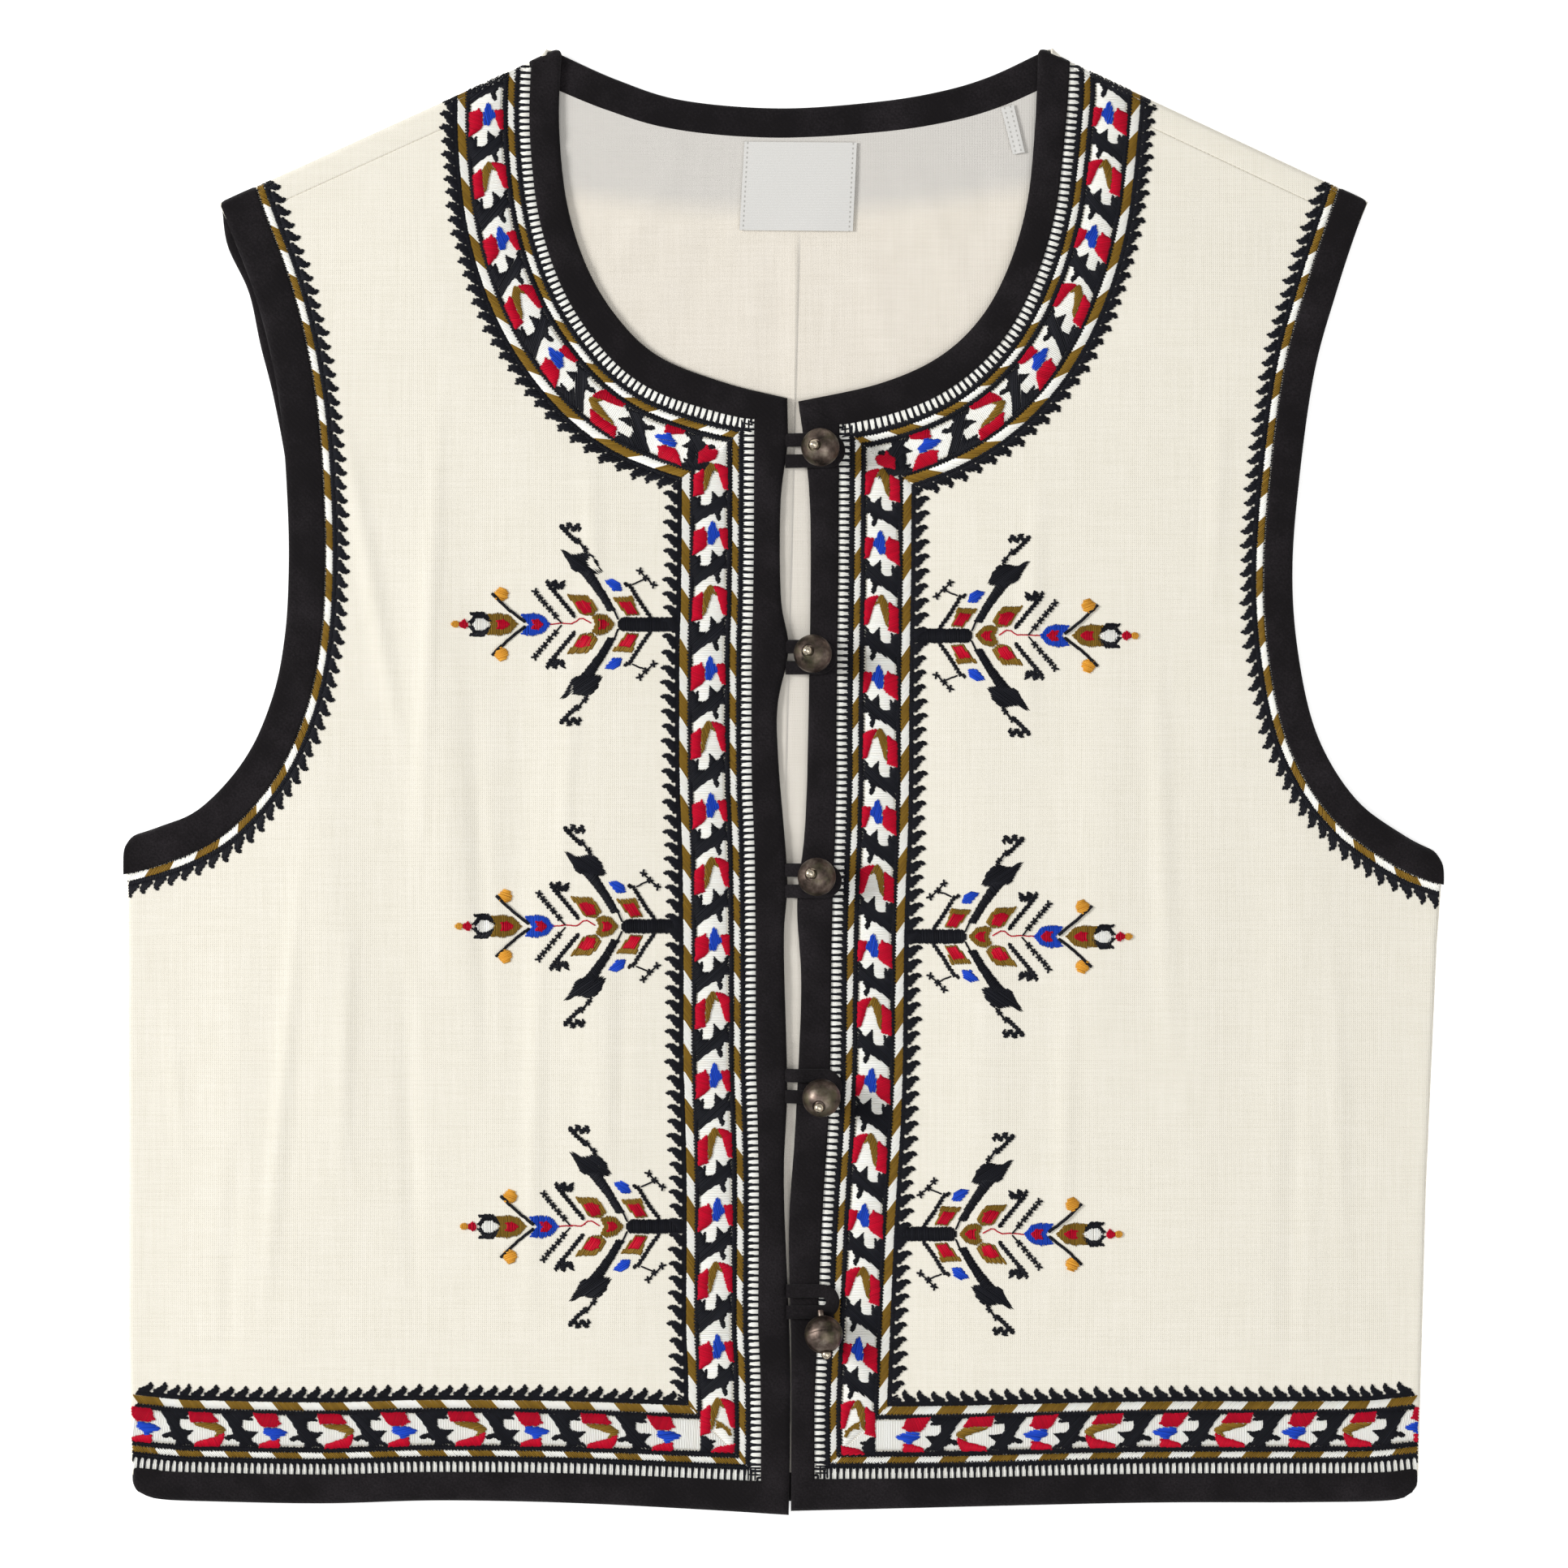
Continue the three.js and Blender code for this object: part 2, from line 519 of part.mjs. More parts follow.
// The back's turn over a shoulder, down to the seam on the front
function shoulderTurn(side) {
  const { start, end, along, outward } = shoulderFold[side];
  const outer = (frontRest + frontWall) / 2;
  const inner = (frontRest - backWall) / 2;
  const axisInset = outer + seamGap;
  const flap = shoulderSeamInset - axisInset;
  const shape = new THREE.Shape();
  shape.moveTo(-flap, 0);
  shape.lineTo(0, 0);
  shape.absarc(0, outer, outer, -Math.PI / 2, Math.PI / 2, false);
  shape.lineTo(-flap, frontRest + frontWall);
  shape.lineTo(-flap, frontRest);
  shape.lineTo(0, frontRest);
  shape.absarc(0, backWall + inner, inner, Math.PI / 2, -Math.PI / 2, true);
  shape.lineTo(-flap, backWall);
  const length = start.distanceTo(end);
  const geometry = new THREE.ExtrudeGeometry(shape, {
    depth: length, bevelEnabled: false, curveSegments: 6,
  });
  const origin = insetFrom(start, outward, axisInset);
  const place = new THREE.Matrix4().makeBasis(
    new THREE.Vector3(outward.x, outward.y, 0),
    new THREE.Vector3(0, 0, 1),
    new THREE.Vector3(along.x, along.y, 0),
  ).setPosition(origin.x, origin.y, 0);
  return toSolid(geometry.applyMatrix4(place));
}

// Outline of the back layer, with its folds and sides drawn in by an inset
function backOutline(foldInset, sideInset) {
  const drawnIn = (side) => {
    const { start, end, outward } = shoulderFold[side];
    return [start, end].map((point) => insetFrom(point, outward, foldInset));
  };
  const sidePoints = (side) => sideEdge[side].map(({ x, y }) => ({ x: x - Math.sign(x) * sideInset, y }));
  return [
    ...drawnIn('right').reverse(),
    ...edgePoints(front.right.armholeOver.slice(2, -1)), ...sidePoints('right').slice(0, -1),
    ...edgePoints(backHem.toReversed()), ...sidePoints('left').slice(0, -1).reverse(),
    ...edgePoints(front.left.armholeOver.slice(2, -1)).reverse(), ...drawnIn('left').reverse(),
    ...edgePoints(backNeck.slice(1, -1)).reverse(),
  ];
}

// A narrow upstand along each side, where the seam brings the back up to the front
function sideSeam(side) {
  const outer = sideEdge[side].slice(0, -1);
  const inner = outer.map(({ x, y }) => ({ x: x - Math.sign(x) * backWall, y })).reverse();
  const outline = [...outer, ...inner];
  if (side === 'left') outline.reverse();
  return prism(outline, 0, bindingWall);
}

function makeBack() {
  const axisInset = (frontRest + frontWall) / 2 + seamGap;
  const whole = prism(backOutline(axisInset, 0), 0, backWall)
    .add(shoulderTurn('right')).add(shoulderTurn('left'))
    .add(sideSeam('right')).add(sideSeam('left'));
  const spaces = [...backSpaces(), ...frontSpaces('right'), ...frontSpaces('left')];
  return toGeometry(cutAll(whole, spaces));
}

function makeLining() {
  const bottom = backWall + seamGap;
  const sheet = prism(backOutline(liningInset.fold, liningInset.side), bottom, bottom + liningWall);
  const wedge = new THREE.Shape();
  wedge.moveTo(0, -liningWall / 2);
  wedge.lineTo(pleat.width, -liningWall / 2);
  wedge.lineTo(0, pleat.rise);
  const ridge = new THREE.ExtrudeGeometry(wedge, { depth: pleat.top - pleat.foot, bevelEnabled: false });
  ridge.rotateX(Math.PI / 2).translate(pleat.x, pleat.top, bottom + liningWall);
  return toGeometry(cutAll(sheet.add(toSolid(ridge)), backSpaces()));
}

// Buttons and their loops
const loopRest = frontRest + bindingWall + seamGap;
const ballHeight = loopRest + loop.wall + seamGap + ball.radius;

function makeBall() {
  const points = [0, ball.shankRadius].map((radius) => new THREE.Vector2(radius, -ball.shankReach));
  const arc = (radius, middle, from, to, steps) => {
    for (let i = 0; i <= steps; i += 1) {
      const angle = THREE.MathUtils.lerp(from, to, i / steps);
      points.push(new THREE.Vector2(radius * Math.sin(angle), middle - radius * Math.cos(angle)));
    }
  };
  const knobWaist = ball.knobRadius * knobShares.waist;
  const shankJoin = Math.asin(ball.shankRadius / ball.radius);
  const knobJoin = Math.PI - Math.asin(knobWaist / ball.radius);
  arc(ball.radius, 0, shankJoin, knobJoin, ballFacets.ball);
  const knobStart = Math.asin(knobWaist / ball.knobRadius);
  arc(ball.knobRadius, ball.knobReach, knobStart, Math.PI * knobShares.end, ballFacets.knob);
  points.push(new THREE.Vector2(0, ball.knobReach + ball.knobRadius));
  return new THREE.LatheGeometry(points, ballFacets.sides);
}

function edgeReach(sections, y) {
  const nearest = sections.map(({ edge }) => edge).sort((a, b) => Math.abs(a.y - y) - Math.abs(b.y - y));
  return Math.max(nearest[0].x, nearest[1].x);
}

// A flat loop from under the right edge, over the left binding, round the button's shank and back
function makeLoop(centre) {
  const startX = edgeReach(front.right.edge, centre.y) + seamGap * 2;
  const climbX = edgeReach(front.left.edge, centre.y);
  const low = frontRest + bindingWall / 2;
  const high = loopRest + loop.wall / 2;
  const hasGap = climbX - startX > loop.wall;
  const spots = [
    { x: startX, y: loop.bend, z: hasGap ? low : high },
    { x: Math.max(climbX - seamGap, startX + 1), y: loop.bend, z: high },
    { x: (climbX + centre.x) / 2, y: loop.bend, z: high },
  ];
  for (let i = 0; i <= loop.bendSteps; i += 1) {
    const angle = THREE.MathUtils.lerp(Math.PI / 2, -Math.PI / 2, i / loop.bendSteps);
    spots.push({ x: centre.x + loop.bend * Math.cos(angle), y: loop.bend * Math.sin(angle), z: high });
  }
  spots.push(...spots.slice(0, 3).map((spot) => ({ ...spot, y: -spot.y })).reverse());
  return loft(spots.map((spot, i) => {
    const before = spots[Math.max(i - 1, 0)];
    const after = spots[Math.min(i + 1, spots.length - 1)];
    const along = new THREE.Vector2(after.x - before.x, after.y - before.y).normalize();
    return loopSection.map(({ aside, up }) => new THREE.Vector3(
      spot.x + along.y * aside * loop.width,
      centre.y + spot.y - along.x * aside * loop.width,
      spot.z + up * loop.wall,
    ));
  }));
}

addPiece('back', makeBack(), cloth);
addPiece('back_lining', makeLining(), lining);
addPiece('front_right', makeFront('right'), cloth);
addPiece('front_left', makeFront('left'), cloth);

addPiece('neck_binding', bindingStrip([
  ...front.right.neck.slice(0, -1),
  ...turnSections(front.right.neckEnd, front.right.neck.at(-1).across, shoulderFold.right.outward, 0, Math.PI),
  ...backNeck.slice(1, -1),
  ...turnSections(front.left.neckEnd, front.left.neck.at(-1).across, shoulderFold.left.outward, Math.PI, 0),
  ...front.left.neck.toReversed().slice(1).map(reversed),
]), binding);
addPiece('hem_binding', bindingStrip([
  ...front.left.hem.slice(0, -1),
  ...turnSections(front.left.hemEnd, front.left.hem.at(-1).across, sideOutward.left, 0, Math.PI),
  ...backHem.slice(1, -1),
  ...turnSections(front.right.hemEnd, front.right.hem.at(-1).across, sideOutward.right, Math.PI, 0),
  ...front.right.hem.toReversed().slice(1).map(reversed),
]), binding);
addPiece('edge_binding_right', bindingStrip(front.right.edge), binding);
addPiece('edge_binding_left', bindingStrip(front.left.edge.toReversed().map(reversed)), binding);
for (const side of ['right', 'left']) {
  const { armhole, armholeOver, tipStart, fold } = front[side];
  const [first, second] = side === 'right' ? [armholeOver, armhole] : [armhole, armholeOver];
  const turn = turnSections(tipStart, armhole[0].across, fold.outward, first[0].turn, second[0].turn);
  addPiece(`armhole_binding_${side}`, bindingStrip([
    ...first.toReversed().slice(0, -1).map(reversed), ...turn, ...second.slice(1),
  ]), binding);
}

const ballShape = makeBall();
buttons.forEach((button, i) => {
  const { x, y, leanX, leanY, hangsFrom } = button;
  const lean = new THREE.Vector3(leanX, leanY, 0);
  lean.z = Math.sqrt(Math.max(0, leanReach ** 2 - lean.lengthSq()));
  lean.normalize();
  const height = hangsFrom ? loopRest + ball.radius : ballHeight;
  const piece = addPiece(`button_${i + 1}`, ballShape.clone(), metal);
  piece.position.set(x, y, height);
  piece.quaternion.setFromUnitVectors(new THREE.Vector3(0, 1, 0), lean);
  const drop = (height - loopRest - loop.wall / 2) / lean.z;
  const shankAt = hangsFrom ?? { x: x - lean.x * drop, y: y - lean.y * drop };
  addPiece(`loop_${i + 1}`, makeLoop(shankAt), binding);
});

for (const [name, outline] of [['label', label], ['care_tab', careTab]]) {
  addPiece(name, toGeometry(prism(outline.toReversed(), frontRest, frontRest + labelWall)), tape);
}

export default garment;
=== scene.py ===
import math
from functools import partial

import bmesh
import bpy
import numpy as np
from mathutils import Matrix, Vector


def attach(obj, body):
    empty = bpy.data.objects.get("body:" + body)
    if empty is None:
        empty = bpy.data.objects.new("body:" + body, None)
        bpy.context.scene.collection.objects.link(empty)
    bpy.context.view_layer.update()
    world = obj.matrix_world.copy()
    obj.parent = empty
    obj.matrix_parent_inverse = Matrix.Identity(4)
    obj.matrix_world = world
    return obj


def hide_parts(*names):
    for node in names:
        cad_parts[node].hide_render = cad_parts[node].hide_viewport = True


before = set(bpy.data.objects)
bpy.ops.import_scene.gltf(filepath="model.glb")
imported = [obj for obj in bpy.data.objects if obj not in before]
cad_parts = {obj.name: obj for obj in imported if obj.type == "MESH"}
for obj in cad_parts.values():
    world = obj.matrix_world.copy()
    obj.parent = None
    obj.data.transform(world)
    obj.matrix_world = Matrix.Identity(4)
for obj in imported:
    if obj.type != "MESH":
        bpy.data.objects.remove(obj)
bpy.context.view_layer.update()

mm = 0.001
print("stage 1: frame loaded,", len(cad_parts), "nodes")

# Layers of the waistcoat in millimetres, as it lies on its back. Right and left are the wearer's.
layers = {
    "seamGap": 0.3,
    "backWall": 1.2,
    "liningTop": 2.5,
    "frontRest": 2.8,     # underside of the fronts
    "frontTop": 4.3,      # cloth surface of the fronts where they lie flat
    "bindingWall": 2.5,
    "turnHeight": 2.65,   # line that a binding turns over
    "shoulderSeam": 9.6,  # from the shoulder fold down to the forward seam
}

sides = ("right", "left")

# Edges of the pieces, each a curve through a few rows of x, y
clothOn = {"right": 1, "left": -1}  # which way the cloth lies from each side's edges
neckPoint = {"right": (-83.2, 271.2), "left": (95.2, 271.5)}
shoulderTip = {"right": (-208.9, 214), "left": (216.4, 214.6)}
sideEdge = {
    "right": [(-243.9, -22), (-242.6, -40), (-242.3, -205), (-240.9, -264)],
    "left": [(244, -28), (241.6, -60), (237.6, -150), (234.5, -264)],
}
neckEdge = {
    "right": [(1.4, 141.6), (-21.4, 147.2), (-45.8, 156.8), (-61.3, 171.2), (-72.8, 190.3), (-80.2, 214.3),
              (-83, 243.1)],
    "left": [(5.4, 140.4), (35.5, 147), (57.4, 156.8), (72.8, 171.2), (83.2, 190.3), (90.1, 214.3),
             (93, 243.1)],
}
backNeckEdge = [(-61.6, 259.6), (-37.6, 252.1), (-1.6, 249.1), (34.4, 251.5), (58.3, 255.4), (76.3, 260.8)]
frontEdge = {
    "right": [(1.9, -271.3), (2.4, -240), (2.3, -209), (0.1, -149), (1.3, -113), (0.1, -60), (1.3, -35),
              (-1.9, 7), (-2.2, 28), (1.8, 49), (-1, 68), (-1.1, 103), (1.6, 126), (1.4, 141.6)],
    "left": [(2.7, -269.8), (2.9, -240), (2.8, -209), (2, -165), (4.3, -128), (6.5, -77), (5, -45),
             (7.9, -17), (9.2, 25), (9.8, 100), (5.4, 140.4)],
}
frontInner = {  # inner edge of the front bindings
    "right": [(-8.5, -275), (-8.3, -240), (-8.6, -218), (-9.4, -200), (-9.2, -178), (-9.1, -150),
              (-9.6, -125), (-10.3, -105), (-10.3, -60), (-10.7, -25), (-11.6, -5), (-11.9, 12), (-11.8, 50),
              (-11.3, 64), (-11, 85), (-10.8, 145)],
    "left": [(11.5, -275), (11.4, -230), (12.2, -212), (13.1, -188), (13.9, -170), (14.8, -152),
             (15.8, -138), (16.6, -125), (17.3, -104), (17.7, -62), (18.2, -41), (19.1, -20), (19.6, 0),
             (19.6, 22), (19.9, 50), (20.3, 74), (20.7, 145)],
}
hemEdge = {
    "right": [(1.9, -271.3), (-31.6, -269.2), (-79.6, -266.8), (-127.6, -265.9), (-169.7, -267),
              (-210, -266.3), (-231, -265.4)],
    "left": [(2.7, -269.8), (40.4, -268.9), (130.3, -266.8), (190.3, -266.6), (224, -265.9)],
}
backHemEdge = [(150, -264.4), (0, -266.5), (-150, -264.4)]
hemCornerDrop = {"right": 262.8, "left": 263.2}
armholeFront = {
    "right": [(-204.7, 203.9), (-195.9, 181.1), (-189.6, 158), (-185.4, 133), (-183.3, 104), (-182.8, 79),
              (-184.2, 54), (-188.8, 31), (-198.8, 8.5), (-215, -9.5), (-230.5, -17), (-244, -21.5)],
    "left": [(211.6, 203), (204.4, 181), (196.3, 152), (190.9, 115), (188, 79), (190, 48), (197, 17.5),
             (211, -6), (230, -20.8), (244, -27.5)],
}
armholeBack = {
    "right": [(-205.8, 198), (-198, 181), (-193.7, 161.5), (-188.6, 141), (-183.6, 112), (-182, 79),
              (-183.4, 54), (-188.6, 31), (-200, 7.5), (-216, -10), (-230.5, -16.6), (-244, -21)],
    "left": [(211, 203), (203.8, 181), (195.7, 152), (190.3, 115), (187.4, 79), (189.4, 48), (196.4, 18),
             (210.4, -5.4), (230, -20.2), (244, -27)],
}
neckWidths = {"right": [10.4, 12, 11.6, 10.9, 10.9], "left": [11.4, 12.3, 11, 10.9, 12]}
backNeckWidths = [12.6, 11.2, 11, 11.6, 12.2]
neckTurnWidth = 12.4
widestFront = 11
hemWidths = {"right": [12, 11.2, 10.6, 10.8, 10.6], "left": [11.8, 10.8, 10.8, 10.8, 10.6]}
hemTurnWidth = 9
backHemWidths = [10.8, 10.8]
armholeWidths = {"right": [14.2, 13.6, 13.4, 13.2, 13], "left": [11, 11, 10.4, 11.2, 10.8]}
armholeTurnWidth = {"right": 14.6, "left": 11.6}

# Relief of the fronts: air under them, then long folds and finer creases as x, top, foot, lean, width, rise
relief = {"rise": 2, "reach": 65, "neckOval": (5, 270, 88, 128), "creaseGain": 2.1, "creaseWidth": 0.72}
folds = [
    (-127, 120, -75, -10, 10, 1.2), (-98, 60, -130, 4, 9, -0.9), (-168, 20, -170, -6, 12, 1),
    (-206, -40, -220, 3, 10, 0.8), (-66, -10, -190, -3, 9, 0.7), (118, 90, -150, 8, 13, 0.8),
    (172, 30, -190, 5, 14, -0.8), (74, 10, -180, 2, 11, 0.6),
]
creases = [
    (-131, 150, -40, 9, 3.2, 0.42), (-112, 40, -120, -6, 3.6, -0.36), (-152, 142, 2, -24, 4, 0.46),
    (-185, -22, -205, 15, 3.4, 0.46), (-92, -30, -210, 4, 3.4, 0.32), (-225, -72, -142, -7, 3, 0.36),
    (-70, 130, 20, -4, 3.6, 0.3), (-60, -60, -150, 2, 3.4, -0.26), (-162, -45, -150, 3, 3.4, 0.34),
    (-204, -130, -222, 5, 4, -0.3), (-138, -60, -200, -5, 4, -0.3), (-80, 60, -60, 6, 3, 0.26),
    (92, 120, 10, 5, 4.4, 0.28), (140, 60, -110, -6, 4.6, 0.34), (205, -50, -200, -4, 4.4, 0.34),
    (188, -70, -230, 5, 5, -0.28), (104, -60, -200, 3, 4, 0.28), (160, 150, 60, 4, 4.8, 0.26),
]


# Lines and edges in plan
def unit(vector):
    return np.array(vector, float) / np.linalg.norm(vector)


def runAlong(line):
    return np.concatenate([[0], np.cumsum(np.linalg.norm(np.diff(line, axis=0), axis=1))])


def spaced(line, step):
    gone = runAlong(line)
    at = np.linspace(0, gone[-1], max(2, round(gone[-1] / step) + 1))
    return np.stack([np.interp(at, gone, line[:, axis]) for axis in range(line.shape[1])], axis=1)


def curveThrough(rows, step):
    points = np.array(rows, float)
    padded = np.vstack([points[:1], points, points[-1:]])
    share = np.linspace(0, 1, 20, endpoint=False)[:, None]
    pieces = []
    for before, start, end, after in zip(padded, padded[1:], padded[2:], padded[3:]):
        leave, arrive = (end - before) / 2, (after - start) / 2
        cubic = 2 * start - 2 * end + leave + arrive
        square = 3 * end - 3 * start - 2 * leave - arrive
        pieces.append(cubic * share ** 3 + square * share ** 2 + leave * share + start)
    return spaced(np.vstack(pieces + [points[-1:]]), step)


def tangents(line):
    along = np.gradient(line, axis=0)
    return along / np.linalg.norm(along, axis=1)[:, None]


def leftOf(along):
    return np.stack([-along[..., 1], along[..., 0]], axis=-1)


def insideFold(side, points):
    start, end = (shoulderTip, neckPoint)[::clothOn[side]]
    along = unit(np.subtract(end[side], start[side]))
    return -(points - np.array(start[side])) @ leftOf(along)


def sideReach(side, y):
    rows = sorted(sideEdge[side], key=lambda row: row[1])
    return np.abs(np.interp(y, [row[1] for row in rows], [row[0] for row in rows]))


def fade(distance):
    share = np.clip(distance / relief["reach"], 0, 1)
    return share * share * (3 - 2 * share)


def foldSum(rows, x, y):
    total = np.zeros_like(x)
    for middle, top, foot, lean, width, rise in rows:
        share = np.clip((y - foot) / (top - foot), 0, 1)
        away = (x - middle - lean * (share - 0.5)) / width
        total += rise * np.sin(math.pi * share) * np.exp(-away * away)
    return total


def lift(x, y, fine=False):
    x, y = np.asarray(x, float), np.asarray(y, float)
    centreX = frontEdge["right"][0][0]
    pick = lambda right, left: np.where(x < centreX, right, left)
    slopes = [np.polyfit(*zip(neckPoint[side], shoulderTip[side]), 1) for side in sides]
    shoulder = pick(*[np.polyval(slope, x) for slope in slopes])
    fromShoulder = shoulder - y - layers["shoulderSeam"]
    fromSide = pick(*[abs(sideEdge[side][-1][0]) for side in sides]) - np.abs(x)
    fromHem = y - pick(*[hemEdge[side][0][1] + hemWidths[side][0] for side in sides])
    fromCentre = np.abs(x - centreX) - widestFront
    ovalX, ovalY, across, high = relief["neckOval"]
    fromNeck = (np.hypot((x - ovalX) / across, (y - ovalY) / high) - 1) * across
    clear = fade(fromShoulder) * fade(fromSide) * fade(fromHem) * fade(fromCentre)
    folded = foldSum(folds, x, y) * (fade(fromSide) * fade(fromCentre))
    raised = np.maximum(0, relief["rise"] * (clear * fade(fromNeck)) + folded)
    if fine:
        sharp = [(*row[:4], row[4] * relief["creaseWidth"], row[5]) for row in creases]
        raised = raised + relief["creaseGain"] * foldSum(sharp, x, y) * np.sqrt(clear)
    return raised


def clothTop(side, points):
    # Surface that the stitches lie on: the front, then the back's turn over the shoulder
    flat = layers["frontTop"] + lift(points[:, 0], points[:, 1], fine=True)
    radius = layers["frontTop"] / 2
    past = np.clip(radius + layers["seamGap"] - insideFold(side, points), 0, radius)
    return flat - radius + np.sqrt(radius ** 2 - past ** 2)


# Materials
def linear(hexColour):
    parts = [int(hexColour[i:i + 2], 16) / 255 for i in (1, 3, 5)]
    return tuple(p / 12.92 if p <= 0.04045 else ((p + 0.055) / 1.055) ** 2.4 for p in parts) + (1.0,)


def addNode(tree, kind, inputs=None, output=0, **settings):
    # An input is a plain value, or another node's output to link. Gives one output of the new node
    node = tree.nodes.new("ShaderNode" + kind)
    for name, value in settings.items():
        setattr(node, name, value)
    for socket, value in (inputs or {}).items():
        if isinstance(value, bpy.types.NodeSocket):
            tree.links.new(value, node.inputs[socket])
        else:
            node.inputs[socket].default_value = value
    return node.outputs[output] if node.outputs else None


inColour = {"output": 2, "data_type": "RGBA"}  # a Mix node's setting and output where it mixes colours


def waveScale(period):
    return 2 * math.pi / (20 * period * mm)  # a wave texture's scale for a period in millimetres


def newMaterial(name):
    material = bpy.data.materials.new(name)
    material.use_nodes = True
    material.node_tree.nodes.clear()
    return material, partial(addNode, material.node_tree)


def closeMaterial(material, add, surface, height=None, strength=1.0, depth=0.0):
    # Ends in the shader, with a bump whose depth is in millimetres where the surface has a height
    if height:
        surface["Normal"] = add("Bump", {"Strength": strength, "Distance": depth * mm, "Height": height})
    add("OutputMaterial", {"Surface": add("BsdfPrincipled", surface)})
    return material


def wovenCotton(name, colour, shade, thread, slub, tone, rough, sheen, showThroughAndPaintedShade=None):
    # Plain weave: warp and weft as two sets of waves, with slubs that run along each thread
    material, add = newMaterial(name)
    place = add("TexCoord", output="Object")
    waves = {"Vector": place, "Scale": waveScale(thread), "Distortion": 1.2, "Detail": 2, "Detail Scale": 1.5}
    warp, weft = [add("TexWave", waves, output="Fac", bands_direction=way) for way in ("X", "Y")]
    weave = add("Math", {0: warp, 1: weft}, operation="MULTIPLY")
    stretched = [add("Mapping", {"Vector": place, "Scale": scale}) for scale in [(45, 1100, 1), (900, 38, 1)]]
    weftSlubs, warpSlubs = [add("TexNoise", {"Vector": way, "Scale": 1, "Detail": 2}) for way in stretched]
    slubs = add("Math", {0: weftSlubs, 1: warpSlubs}, operation="ADD")
    amount = add("MapRange", {"Value": slubs, "From Min": 0.7, "From Max": 1.3, "To Max": slub})
    slubbed = add("Mix", {0: amount, 6: linear(colour), 7: linear(shade)}, **inColour)
    clouds = add("TexNoise", {"Vector": place, "Scale": 90, "Detail": 3})
    cloudy = add("MapRange", {"Value": clouds, "From Min": 0.35, "From Max": 0.65, "To Max": tone})
    base = add("Mix", {0: cloudy, 6: slubbed, 7: linear(shade)}, **inColour)
    # Where the attribute under is set, a grey is mixed in. On the lining this is the back showing through,
    # plus painted shade
    if showThroughAndPaintedShade:
        under = add("Attribute", output="Fac", attribute_name="under")
        part = add("Math", {0: under, 1: showThroughAndPaintedShade[1]}, operation="MULTIPLY")
        base = add("Mix", {0: part, 6: base, 7: linear(showThroughAndPaintedShade[0])}, **inColour)
    height = add("Math", {0: slubs, 1: weave, 2: 0.35}, operation="MULTIPLY_ADD")
    return closeMaterial(material, add, {
        "Base Color": base, "Roughness": rough, "Sheen Weight": sheen, "Sheen Roughness": 0.5,
        "Specular IOR Level": 0.25}, height, 0.5, 0.22)


def brushedTwill(name, colour, fleck):
    # Brushed black cotton: a faint diagonal twill under a nap that takes the light softly
    material, add = newMaterial(name)
    place = add("TexCoord", output="Object")
    waves = {"Vector": place, "Scale": waveScale(1.1), "Distortion": 2.4, "Detail": 2, "Detail Scale": 2}
    diagonal = add("TexWave", waves, output="Fac", bands_direction="DIAGONAL")
    nap = add("TexNoise", {"Vector": place, "Scale": 1500, "Detail": 3, "Roughness": 0.7})
    worn = add("TexNoise", {"Vector": place, "Scale": 60, "Detail": 4})
    flecks = add("Math", {0: nap, 1: worn}, operation="MULTIPLY")
    amount = add("MapRange", {"Value": flecks, "From Min": 0.2, "From Max": 0.42, "To Max": 0.8})
    base = add("Mix", {0: amount, 6: linear(colour), 7: linear(fleck)}, **inColour)
    height = add("Math", {0: nap, 1: diagonal}, operation="MULTIPLY")
    return closeMaterial(material, add, {
        "Base Color": base, "Roughness": 0.9, "Sheen Weight": 0.04, "Sheen Roughness": 0.6,
        "Specular IOR Level": 0.12}, height, 0.6, 0.2)


def strandedCotton(name, colour, deep):
    # Embroidery thread: six strands in a slight twist, with a soft sheen along the stitch
    material, add = newMaterial(name)
    thread = add("Attribute", output="Vector", attribute_name="thread")
    along, across, tone = add("SeparateXYZ", {0: thread}).node.outputs
    turned = add("Math", {0: across, 1: 1.6, 2: along}, operation="MULTIPLY_ADD")
    twist = add("Math", {0: turned, 1: 2 * math.pi / 0.7}, operation="MULTIPLY")
    strands = add("Math", {0: twist}, operation="SINE")
    amount = add("MapRange", {"Value": tone, "To Max": 0.55})
    base = add("Mix", {0: amount, 6: linear(colour), 7: linear(deep)}, **inColour)
    return closeMaterial(material, add, {
        "Base Color": base, "Roughness": 0.55, "Sheen Weight": 0.02, "Sheen Roughness": 0.4,
        "Specular IOR Level": 0.15}, strands, 0.25, 0.08)


def antiquedSilverBrass(name):
    # Silvered brass, darkened in a random mottle with brown and green patina and rubbed bright on the knob
    material, add = newMaterial(name)
    place = add("TexCoord", output="Object")
    mottle = add("TexNoise", {"Vector": place, "Scale": 210, "Detail": 4, "Roughness": 0.6})
    ramp = add("ValToRGB", {"Fac": mottle})
    stops = ramp.node.color_ramp.elements
    stops[0].position, stops[0].color = 0.32, linear("#39322D")
    stops[1].position, stops[1].color = 0.72, linear("#9C9084")
    stops.new(0.52).color = linear("#6E6058")
    blooms = add("TexNoise", {"Vector": place, "Scale": 160, "Detail": 3})
    green = add("MapRange", {"Value": blooms, "From Min": 0.5, "From Max": 0.66, "To Max": 0.45})
    tarnished = add("Mix", {0: green, 6: ramp, 7: linear("#6A6A4E")}, **inColour)
    worn = add("Attribute", output="Fac", attribute_name="worn")
    base = add("Mix", {0: worn, 6: tarnished, 7: linear("#D9CDB8")}, **inColour)
    rough = add("MapRange", {"Value": worn, "To Min": 0.46, "To Max": 0.24})
    surface = {"Base Color": base, "Metallic": 1.0, "Roughness": rough}
    return closeMaterial(material, add, surface, mottle, 0.35, 0.15)


